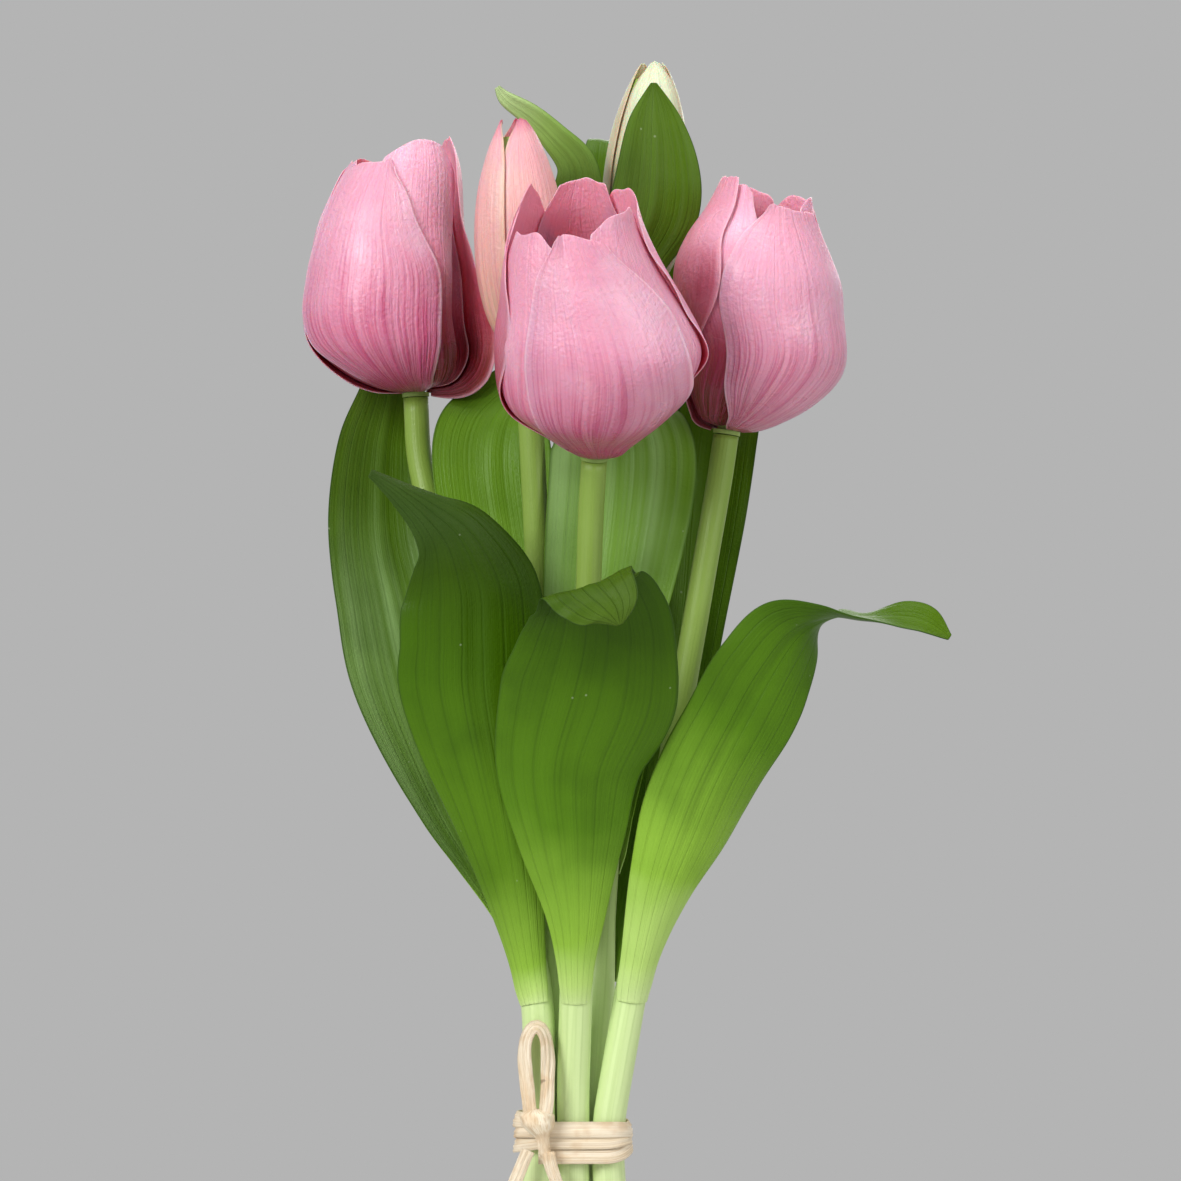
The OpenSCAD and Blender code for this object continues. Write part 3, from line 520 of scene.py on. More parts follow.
raffia = {
    "width": 3, "thick": 1.1, "step": 0.8, "sides": 48, "folds": 9, "foldDepth": 0.13, "foldNoise": 0.5,
    "foldPitch": 8, "swell": 0.1, "swellPitch": 9, "edgePower": 0.7,
    # streaks: lines across and along the surface, and the noise between which a line fades in
    "broad": (14, 3, 0.4, 0.66), "fine": (90, 7, 0.45, 0.68),
    "pale": (248, 234, 210), "mid": (232, 212, 180), "dark": (200, 162, 114), "warm": (214, 178, 134),
    "fleck": (116, 84, 50), "bump": 0.2,
    # routes with heights measured from the tie
    "loop": [(-9.35, -8.4, 7), (-9.8, -7.8, 11.6), (-10.3, -7.1, 16), (-10.6, -6.8, 20),
             (-10.2, -6.7, 23.6), (-8.9, -6.7, 26), (-7.3, -6.7, 26.2), (-6, -6.7, 24), (-5.5, -6.8, 20),
             (-5.5, -7.1, 16), (-5.6, -7.8, 11.6), (-5.95, -8.4, 7)],
    "leftTail": [(-9.8, -8.4, -0.6), (-11.2, -8.4, -4), (-12.8, -8.4, -8), (-14.4, -8.4, -13),
                 (-15.6, -8.4, -18.5), (-16.4, -8.4, -24.5), (-16.8, -8.4, -30.5), (-17, -8.4, -36.5),
                 (-17, -8.4, -42.5)],
    "rightTail": [(-5.4, -8.4, -1), (-4.8, -8.4, -4), (-3.4, -8.4, -8), (-1.8, -8.4, -12.5),
                  (-0.4, -8.4, -18), (0.6, -8.4, -24), (1.2, -8.4, -30), (1.4, -8.4, -36)],
}


def raffiaMaterial():
    s = Surface("raffia", 0.6, 0.25, 180, 2500)
    broad, fine = s.streaks(*raffia["broad"]), s.streaks(*raffia["fine"])
    colour = s.tint(raffia["pale"], raffia["mid"], broad["Mask"], 0.8)
    colour = s.tint(colour, raffia["dark"], fine["Mask"], 0.55)
    colour = s.tint(colour, raffia["warm"], s.span(s.tone, 0.5, 0.66, 0, 0.45))
    colour = s.tint(colour, raffia["fleck"], s.span(s.tone, 0.7, 0.74), 0.7)
    height = s.plus(fine["Height"], s.times(s.grain, 0.3))
    return s.finish(colour, s.span(fine["Height"], 0.3, 0.7, 0.5, 0.75), height, raffia["bump"])


raffiaFinish = raffiaMaterial()


def foldedSection(width, thick, seed, spread=0):
    # cross section of a flat strand with lengthwise folds, wider by a share of spread in its middle
    look = raffia

    def sectionAt(v, angle):
        up, noise = math.sin(angle), wanderRound(angle, v * look["foldPitch"], seed)
        fold = math.sin(angle * look["folds"] + seed) + look["foldNoise"] * noise
        swell = 1 + look["swell"] * wander(0, v * look["swellPitch"], seed + 5)
        swell += spread * math.sin(math.pi * v) ** 2
        lump = thick / 2 * abs(up) ** look["edgePower"] * math.copysign(1, up)
        return width / 2 * swell * math.cos(angle), lump + look["foldDepth"] * fold * up ** 2
    return sectionAt


def turned(pair, angle):
    return (pair[0] * math.cos(angle) - pair[1] * math.sin(angle),
            pair[0] * math.sin(angle) + pair[1] * math.cos(angle))


def makeCord(name, route, node, seed, spread=0, twist=0):
    points = smoothRoute([(x, y, z + stemLook["tieH"]) for x, y, z in route], raffia["step"])
    width = raffia["width"]
    flat = foldedSection(width, raffia["thick"], seed, spread)
    bm = tubeAlong(points, raffia["sides"],
                   lambda v, angle: turned(flat(v, angle), twist * math.sin(math.pi * v) ** 2))
    piece = newPiece(name, bm, [raffiaFinish], "bunch", node)


makeCord("raffiaLoop", raffia["loop"], "tie_loop", 1, 0.3, 0.9)
makeCord("raffiaLeftTail", raffia["leftTail"], "tie_left_tail", 2)
makeCord("raffiaRightTail", raffia["rightTail"], "tie_right_tail", 3)
print("stage: raffia loop and tails")


def stemMaterial():
    look = stemLook
    s = Surface("stemSkin", look["roughness"], 0.4, 70, 1800)
    height = addNode(s.tree, "ShaderNodeSeparateXYZ", {0: s.place}).outputs[2]
    colour = s.ramp(s.span(height, look["colourFrom"], look["colourTo"]),
                    [(0, look["foot"]), (0.3, look["low"]), (0.65, look["high"]), (1, look["neck"])])
    lines = s.streaks(*look["lines"])
    colour = s.tint(colour, look["shade"], lines["Mask"], look["shadeShare"])
    bands, upper = s.streaks(*look["bands"]), s.span(height, look["tintFrom"], look["tintTo"])
    colour = s.tint(colour, look["tint"], bands["Mask"], upper, look["tintShare"])
    rough = s.span(s.tone, 0.3, 0.7, 0.36, 0.52)
    return s.finish(colour, rough, s.plus(lines["Height"], s.times(s.grain, 0.5)), look["bump"])


def makeStems():
    look, skin = stemLook, stemMaterial()
    for seed, name in enumerate(tulips):
        line = stemLines[name]
        points = evenly(line.points(), look["step"])

        def sectionAt(v, angle):
            z = points[round(v * (len(points) - 1))].z
            r = line.radiusAt(z) + look["knobs"] * wanderRound(angle, z * look["knobPitch"], seed)
            return r * math.cos(angle), r * math.sin(angle)

        bm = tubeAlong(points, look["sides"], sectionAt)
        ends = sorted([f for f in bm.faces if len(f.verts) > 4], key=lambda f: f.calc_center_median().z)
        bores = [(ends[0], line.footR - look["wireD"] / 2 - look["boreGap"], look["wireBoreL"]),
                 (ends[1], line.neckR - look["pegD"] / 2 - look["boreGap"], look["pegL"])]
        for face, wall, depth in bores:
            way = face.normal.copy()
            bmesh.ops.inset_region(bm, faces=[face], thickness=wall * mm, use_even_offset=False)
            floor = bmesh.ops.extrude_discrete_faces(bm, faces=[face])["faces"][0]
            bmesh.ops.translate(bm, verts=floor.verts, vec=-way * depth * mm)
        newPiece(name + "Stem", bm, [skin], "bunch", name + "_stem")


makeStems()
print("stage: stems")

# Leaves. Each station holds the place in shares of the length from the front of the collar, share of the
# collar's width, share of the blade's width, half angle of wrap, compass angle and rise of the way across

leafLook = {
    "thick": 0.8, "gap": 0.3, "ripple": 1, "ripples": 3.5, "cols": 28, "rows": 96,
    "veinCount": 6, "veinDepth": 0.06, "foldDepth": 0.6, "foldWidth": 0.12, "waver": 0.6, "jag": 0.05,
    "waverPitch": 14, "jagPitch": 10, "footShare": 0.07, "footLift": 0.12, "thinSide": 0.72,
    "thinShare": 0.35,
}
leaves = {
    "leftShort": {
        "stem": "left", "collar": 1, "faces": -104, "length": 100, "halfWidth": 17, "phase": 20,
        "stations": [
            (0, 0, 0, 1, 0, 54, -14, 0), (-0.013, 0.004, 0.08, 0.95, 0.04, 52, -14, 0),
            (-0.04, -0.03, 0.23, 0.5, 0.3, 46, -10, 0), (-0.08, -0.08, 0.45, 0, 0.7, 34, 0, 0),
            (-0.12, -0.115, 0.67, 0, 0.96, 26, 8, 0), (-0.125, -0.135, 0.8, 0, 1, 24, 12, 0),
            (-0.13, -0.155, 0.91, 0, 0.9, 24, 12, 6), (-0.165, -0.18, 1.01, 0, 0.6, 30, 14, 14),
            (-0.22, -0.205, 1.07, 0, 0.33, 40, 24, 20), (-0.285, -0.225, 1.12, 0, 0.16, 45, 30, 20),
            (-0.35, -0.24, 1.16, 0, 0.03, 40, 30, 20)]},
    "centreShort": {
        "stem": "centre", "collar": 1, "faces": -90, "length": 100, "halfWidth": 20, "phase": 0,
        "stations": [
            (0, 0, 0, 1, 0, 50, 0, 0), (0, -0.015, 0.08, 0.95, 0.04, 49, 0, 0),
            (0, -0.045, 0.2, 0.6, 0.25, 46, 0, 0), (-0.01, -0.08, 0.36, 0.15, 0.6, 38, 0, 0),
            (-0.015, -0.13, 0.52, 0, 0.84, 30, 0, 0), (0.028, -0.185, 0.67, 0, 0.97, 24, 0, 3),
            (0.05, -0.235, 0.79, 0, 0.87, 22, 0, 6), (0.045, -0.285, 0.87, 0, 0.72, 14, 0, 12),
            (0.03, -0.33, 0.918, 0, 0.54, 8, 0, 17), (0.05, -0.36, 0.902, 0, 0.46, 8, 0, 12),
            (0.08, -0.374, 0.868, 0, 0.32, 8, 0, 6), (0.095, -0.378, 0.835, 0, 0.03, 8, 0, 0)]},
    "rightShort": {
        "stem": "right", "collar": 1, "faces": -62, "length": 100, "halfWidth": 12.5, "phase": 90,
        "stations": [
            (0, 0, 0, 1, 0, 74, 28, 0), (0.015, -0.018, 0.09, 0.95, 0.04, 70, 27, 0),
            (0.06, -0.055, 0.25, 0.45, 0.5, 55, 20, 0), (0.11, -0.08, 0.38, 0.1, 0.86, 38, 15, 0),
            (0.155, -0.105, 0.49, 0, 0.97, 30, 12, 0), (0.22, -0.135, 0.62, 0, 1, 26, 10, 0),
            (0.28, -0.155, 0.73, 0, 0.96, 26, 14, 0), (0.345, -0.175, 0.82, 0, 0.8, 30, 26, 0),
            (0.42, -0.19, 0.855, 0, 0.55, 38, 55, 0), (0.49, -0.2, 0.85, 0, 0.32, 34, 82, 8),
            (0.575, -0.21, 0.85, 0, 0.36, 30, 90, 40), (0.63, -0.215, 0.835, 0, 0.32, 40, 90, 45),
            (0.675, -0.22, 0.81, 0, 0.05, 30, 90, 45)]},
    "pinkShort": {
        "stem": "pink", "collar": 1.12, "faces": 110, "length": 100, "halfWidth": 13, "phase": 40,
        "stations": [
            (0, 0, 0, 1, 0, 60, 200, 0), (0, 0.01, 0.08, 0.95, 0.04, 56, 200, 0),
            (-0.005, 0.09, 0.24, 0.5, 0.35, 46, 192, 0), (-0.015, 0.21, 0.44, 0, 0.8, 32, 190, 0),
            (-0.025, 0.31, 0.62, 0, 1, 26, 190, 0), (-0.03, 0.4, 0.74, 0, 0.85, 24, 190, 0),
            (-0.035, 0.48, 0.81, 0, 0.5, 22, 190, 0), (-0.04, 0.56, 0.83, 0, 0.04, 20, 190, 0)]},
    "creamShort": {
        "stem": "cream", "collar": 1.12, "faces": 60, "length": 100, "halfWidth": 13, "phase": 200,
        "stations": [
            (0, 0, 0, 1, 0, 60, 150, 0), (0.005, 0.01, 0.08, 0.95, 0.04, 56, 150, 0),
            (0.03, 0.05, 0.24, 0.5, 0.35, 46, 150, 0), (0.08, 0.12, 0.47, 0, 0.8, 32, 150, 0),
            (0.13, 0.19, 0.66, 0, 1, 26, 150, 0), (0.17, 0.27, 0.79, 0, 0.85, 24, 150, 0),
            (0.2, 0.35, 0.85, 0, 0.5, 22, 150, 0), (0.22, 0.42, 0.87, 0, 0.04, 20, 150, 0)]},
    "leftTall": {
        "stem": "left", "collar": 1.21, "faces": 125, "length": 150, "halfWidth": 17, "phase": 60,
        "stations": [
            (0, 0, 0, 1, 0, 50, 215, 0), (-0.012, 0.016, 0.06, 0.8, 0.1, 46, 212, 0),
            (-0.056, 0.054, 0.15, 0.4, 0.4, 44, 208, 0), (-0.106, 0.072, 0.25, 0.1, 0.68, 40, 205, 0),
            (-0.158, 0.09, 0.4, 0, 0.92, 32, 200, 0), (-0.195, 0.13, 0.55, 0, 0.84, 28, 196, 0),
            (-0.215, 0.16, 0.65, 0, 0.76, 26, 194, 0), (-0.215, 0.21, 0.77, 0, 0.62, 24, 194, 0),
            (-0.2, 0.265, 0.87, 0, 0.42, 22, 192, 0), (-0.195, 0.32, 0.97, 0, 0.28, 20, 190, 0),
            (-0.19, 0.345, 1.05, 0, 0.03, 20, 190, 0)]},
    "pinkTall": {
        "stem": "pink", "collar": 1.89, "faces": 90, "length": 200, "halfWidth": 17, "phase": 300,
        "stations": [
            (0, 0, 0, 1, 0, 75, 180, 0), (0, 0, 0.05, 0.8, 0.1, 66, 180, 0),
            (-0.025, 0.008, 0.2, 0.1, 0.5, 38, 180, 0), (-0.05, 0.022, 0.33, 0, 0.72, 28, 182, 0),
            (-0.068, 0.04, 0.44, 0, 0.8, 24, 178, 0), (-0.065, 0.056, 0.495, 0, 0.76, 22, 174, 0),
            (-0.044, 0.073, 0.53, 0, 0.52, 20, 172, 0), (0, 0.082, 0.578, 0, 0.32, 18, 174, 0),
            (0.011, 0.063, 0.635, 0, 0.33, 14, 178, 0), (0.018, 0.042, 0.7, 0, 0.36, 12, 180, 0),
            (0.026, 0.036, 0.75, 0, 0.34, 12, 178, 0), (0.025, 0.035, 0.79, 0, 0.26, 12, 176, 0),
            (0.001, 0.036, 0.82, 0, 0.19, 12, 172, 0),
            (-0.026, 0.036, 0.845, 0, 0.15, 12, 170, 0), (-0.053, 0.036, 0.863, 0, 0.1, 12, 170, 0),
            (-0.064, 0.036, 0.877, 0, 0.03, 12, 170, 0)]},
    "centreTall": {
        "stem": "centre", "collar": 1.77, "faces": 90, "length": 200, "halfWidth": 17, "phase": 120,
        "stations": [
            (0, 0, 0, 1, 0, 75, 180, 0), (0.002, -0.006, 0.06, 0.8, 0.12, 64, 180, 0),
            (0.005, 0.006, 0.175, 0.1, 0.5, 42, 180, 0), (0.03, 0.02, 0.325, 0, 0.84, 28, 180, 0),
            (0.047, 0.035, 0.47, 0, 0.98, 24, 184, 0), (0.04, 0.046, 0.525, 0, 0.82, 22, 190, 0),
            (0.032, 0.06, 0.57, 0, 0.59, 20, 196, 0), (0.032, 0.072, 0.615, 0, 0.45, 18, 200, 0),
            (0.043, 0.084, 0.665, 0, 0.4, 18, 202, 0), (0.063, 0.089, 0.71, 0, 0.48, 18, 202, 0),
            (0.081, 0.088, 0.755, 0, 0.62, 16, 198, 0), (0.086, 0.088, 0.81, 0, 0.56, 16, 198, 0),
            (0.085, 0.088, 0.86, 0, 0.36, 14, 198, 0), (0.084, 0.088, 0.9, 0, 0.03, 14, 198, 0)]},
    "rightTall": {
        "stem": "right", "collar": 1.77, "faces": 75, "length": 150, "halfWidth": 17, "phase": 10,
        "stations": [
            (0, 0, 0, 1, 0, 75, 165, 0), (0.01, 0.005, 0.06, 0.8, 0.08, 64, 165, 0),
            (0.035, 0.03, 0.2, 0.2, 0.28, 44, 170, 0), (0.068, 0.07, 0.42, 0, 0.42, 30, 175, 0),
            (0.086, 0.105, 0.57, 0, 0.52, 26, 178, 0), (0.098, 0.13, 0.67, 0, 0.55, 24, 180, 0),
            (0.115, 0.158, 0.76, 0, 0.5, 22, 180, 0), (0.14, 0.18, 0.86, 0, 0.34, 20, 180, 0),
            (0.165, 0.195, 0.97, 0, 0.03, 20, 180, 0)]},
    "creamTall": {
        "stem": "cream", "collar": 1.89, "faces": 80, "length": 200, "halfWidth": 17, "phase": 230,
        "stations": [
            (0, 0, 0, 1, 0, 75, 170, 0), (0.005, 0.008, 0.06, 0.8, 0.12, 64, 170, 0),
            (0.012, 0.025, 0.18, 0.1, 0.52, 42, 175, 0), (0.022, 0.065, 0.36, 0, 0.78, 28, 180, 0),
            (0.027, 0.108, 0.54, 0, 0.84, 24, 180, 0), (0.03, 0.135, 0.67, 0, 0.8, 22, 180, 0),
            (0.028, 0.152, 0.76, 0, 0.74, 20, 180, 0), (0.025, 0.175, 0.82, 0, 0.6, 20, 180, 0),
            (0.024, 0.2, 0.83, 0, 0.45, 20, 180, 0), (0.022, 0.23, 0.82, 0, 0.04, 20, 180, 0)]},
}
leafLine, leafRim, leafPowderAndSheen = (30, 58, 4), (50, 76, 26), (156, 190, 122)
leafFinish = {
    "specular": 0.13, "blotch": 55, "grain": 1400, "veins": (leafLook["veinCount"] + 1, 0.1, 0.022),
    "speck": (200, 212, 180), "speckShare": 0.3, "rimShare": 0.6, "darkShare": 0.25, "toneReach": 0.12,
    "bump": 0.22, "fine": (60, 2, 0.46, 0.7), "broad": (6, 1.1, 0.4, 0.76),
}


def leafMaterial(name, stops, roughness, veinShare=0.2, paleReach=1, powderAndSheen=None):
    look = leafFinish
    s = Surface(name, roughness, look["specular"], look["blotch"], look["grain"])
    rise = mathNode(s.tree, "DIVIDE", s.split[1], paleReach)
    rise = mathNode(s.tree, "SUBTRACT", rise, look["toneReach"] / 2)
    colour = s.ramp(mathNode(s.tree, "MULTIPLY_ADD", s.tone, look["toneReach"], rise), stops)
    veins = s.veins(*look["veins"])
    fine, broad = s.streaks(*look["fine"]), s.streaks(*look["broad"])
    blade = s.span(s.split[1], 0.1, 0.35)
    # whitish patches low on the blade: partly the leaf's own powdery bloom and partly a painted sheen
    if powderAndSheen:
        low = s.span(s.split[1], 0.45, 0.66, 0.75, 0.1)
        colour = s.tint(colour, powderAndSheen, s.span(broad["Height"], 0.3, 0.75), blade, low)
    for lines in (fine["Mask"], broad["Mask"], veins["Lines"]):
        colour = s.tint(colour, leafLine, lines, blade, veinShare)
    colour = s.tint(colour, leafLine, s.span(s.tone, 0.45, 0.75, 0, look["darkShare"]), blade)
    colour = s.tint(colour, leafRim, veins["Edge"], blade, look["rimShare"])
    colour = s.tint(colour, look["speck"], s.specks, look["speckShare"])
    height = s.plus(s.times(fine["Height"], 0.7), s.times(s.grain, 0.4))
    height = s.plus(height, s.times(veins["Lines"], -3 * veinShare))
    rough = s.span(s.tone, 0.3, 0.7, roughness - 0.05, roughness + 0.1)
    return s.finish(colour, rough, height, look["bump"])


# leaf colours from the pale foot up the blade: the dark top stops here and in leftStops are partly the
# leaves' own deep green and partly painted shade under the blooms
leafStops = [(0, (204, 228, 152)), (0.06, (182, 214, 116)), (0.14, (140, 182, 60)), (0.3, (84, 126, 18)),
             (0.55, (58, 92, 0)), (0.8, (42, 68, 0)), (1, (42, 72, 4))]
innerStops = [(0, (188, 214, 126)), (0.1, (140, 178, 70)), (0.25, (96, 136, 30)), (0.5, (72, 106, 8)),
              (0.8, (68, 100, 0)), (1, (80, 112, 10))]
leftStops = leafStops[:3] + [(0.3, (86, 126, 18)), (0.55, (66, 104, 4)), (0.8, (50, 78, 0)),
                             (1, (56, 82, 24))]
paleStops = leafStops[:4] + [(0.6, (78, 112, 22)), (0.8, (112, 146, 60)), (1, (176, 200, 136))]
paleInnerStops = innerStops[:4] + [(0.66, (66, 100, 16)), (0.8, (120, 154, 66)), (1, (190, 212, 150))]
flapStops = leafStops[:4] + [(0.7, (62, 92, 4)), (1, (76, 102, 24))]
leafSkins = {
    "leftShort": leafMaterial("leftShortLeafSkin", leftStops, 0.4, 0.15, 0.8),
    "centreShort": leafMaterial("centreShortLeafSkin", leafStops, 0.38, 0.15),
    "rightShort": leafMaterial("rightShortLeafSkin", leafStops, 0.4, 0.15, 1.35),
    "plain": leafMaterial("tallLeafSkin", leafStops, 0.38, 0.12),
    "pinkTall": leafMaterial("pinkTallLeafSkin", paleStops, 0.36, 0.1),
}
leafInsides = {
    "pinkTall": leafMaterial("pinkTallLeafInside", paleInnerStops, 0.36, 0.08),
    "centreShort": leafMaterial("centreShortLeafInside", flapStops, 0.4),
    "leftTall": leafMaterial("powderAndSheenLeafInside", innerStops, 0.34, 0.08, 1, leafPowderAndSheen),
    "plain": leafMaterial("leafInside", innerStops, 0.36, 0.08),
}
leafInsides["centreTall"] = leafInsides["leftTall"]


def leafPoint(leaf, start, collarR, u, v):
    rows, step, look = leaf["stations"], 0.01, leafLook
    row, ahead, behind = along(rows, v), along(rows, v + step), along(rows, v - step)
    run = Vector([a - b for a, b in zip(ahead[:3], behind[:3])]).normalized()
    rise = math.radians(row[7])
    across = compassWay(math.radians(row[6])) * math.cos(rise) + Vector((0, 0, math.sin(rise)))
    across = (across - run * across.dot(run)).normalized()
    inwards = run.cross(across)
    arc = math.radians(max(row[5], 1))
    blade = min(max(row[4], 0), 1)
    width = collarR * math.radians(rows[0][5]) * max(row[3], 0) + leaf["halfWidth"] * max(row[4], 0)
    bend = width / arc
    phase = math.radians(leaf["phase"])
    wave = look["ripple"] * u * u * math.sin(2 * math.pi * look["ripples"] * v + phase) * blade
    wave += look["waver"] * abs(u) ** 3 * wander(u * 2, v * look["waverPitch"], leaf["phase"] / 10) * blade
    # parallel grooves, and a soft fold along the middle
    grooves = look["veinDepth"] * (1 - abs(math.sin(math.pi * look["veinCount"] * (u + 1) / 2))) ** 3
    middle = look["foldDepth"] * math.exp(-(u / look["foldWidth"]) ** 2)
    foot = ease(0, look["footShare"], v)
    lift = look["footLift"] + (look["thick"] - look["footLift"]) * foot
    lift -= (grooves + middle) * ease(0.1, 0.3, v) * ease(1, 0.85, v) * blade
    jag = look["jag"] * wander(v * look["jagPitch"], math.copysign(2, u), leaf["phase"] / 7)
    turn = u * arc * (1 + jag * blade)
    return (start + Vector(row[:3]) * leaf["length"] + across * (bend + lift) * math.sin(turn)
            + inwards * (bend - (bend + lift) * math.cos(turn) + wave))


def makeLeaves():
    look = leafLook
    for name, leaf in leaves.items():
        line = stemLines[leaf["stem"]]
        z = stemLook["tieH"] + stemLook["collarH"] * leaf["collar"]
        collarR = line.radiusAt(z) + look["gap"]
        start = line.at(z) + compassWay(math.radians(leaf["faces"])) * collarR
        bm = mappedGrid(look["cols"], look["rows"], lambda u, v: leafPoint(leaf, start, collarR, u, v),
                        look["thinSide"], look["footShare"])
        finishes = [skins.get(name, skins["plain"]) for skins in (leafSkins, leafInsides)]
        node = leaf["stem"] + ("_short_leaf" if name.endswith("Short") else "_tall_leaf")
        piece = newPiece(name + "Leaf", bm, finishes, "bunch", node)
        thicken(piece, look["thick"], look["thinShare"])
        refine(piece)


makeLeaves()
print("stage: leaves")

# Flower heads. A head's outline is given from the claw to the tip, as shares of its radius and height.

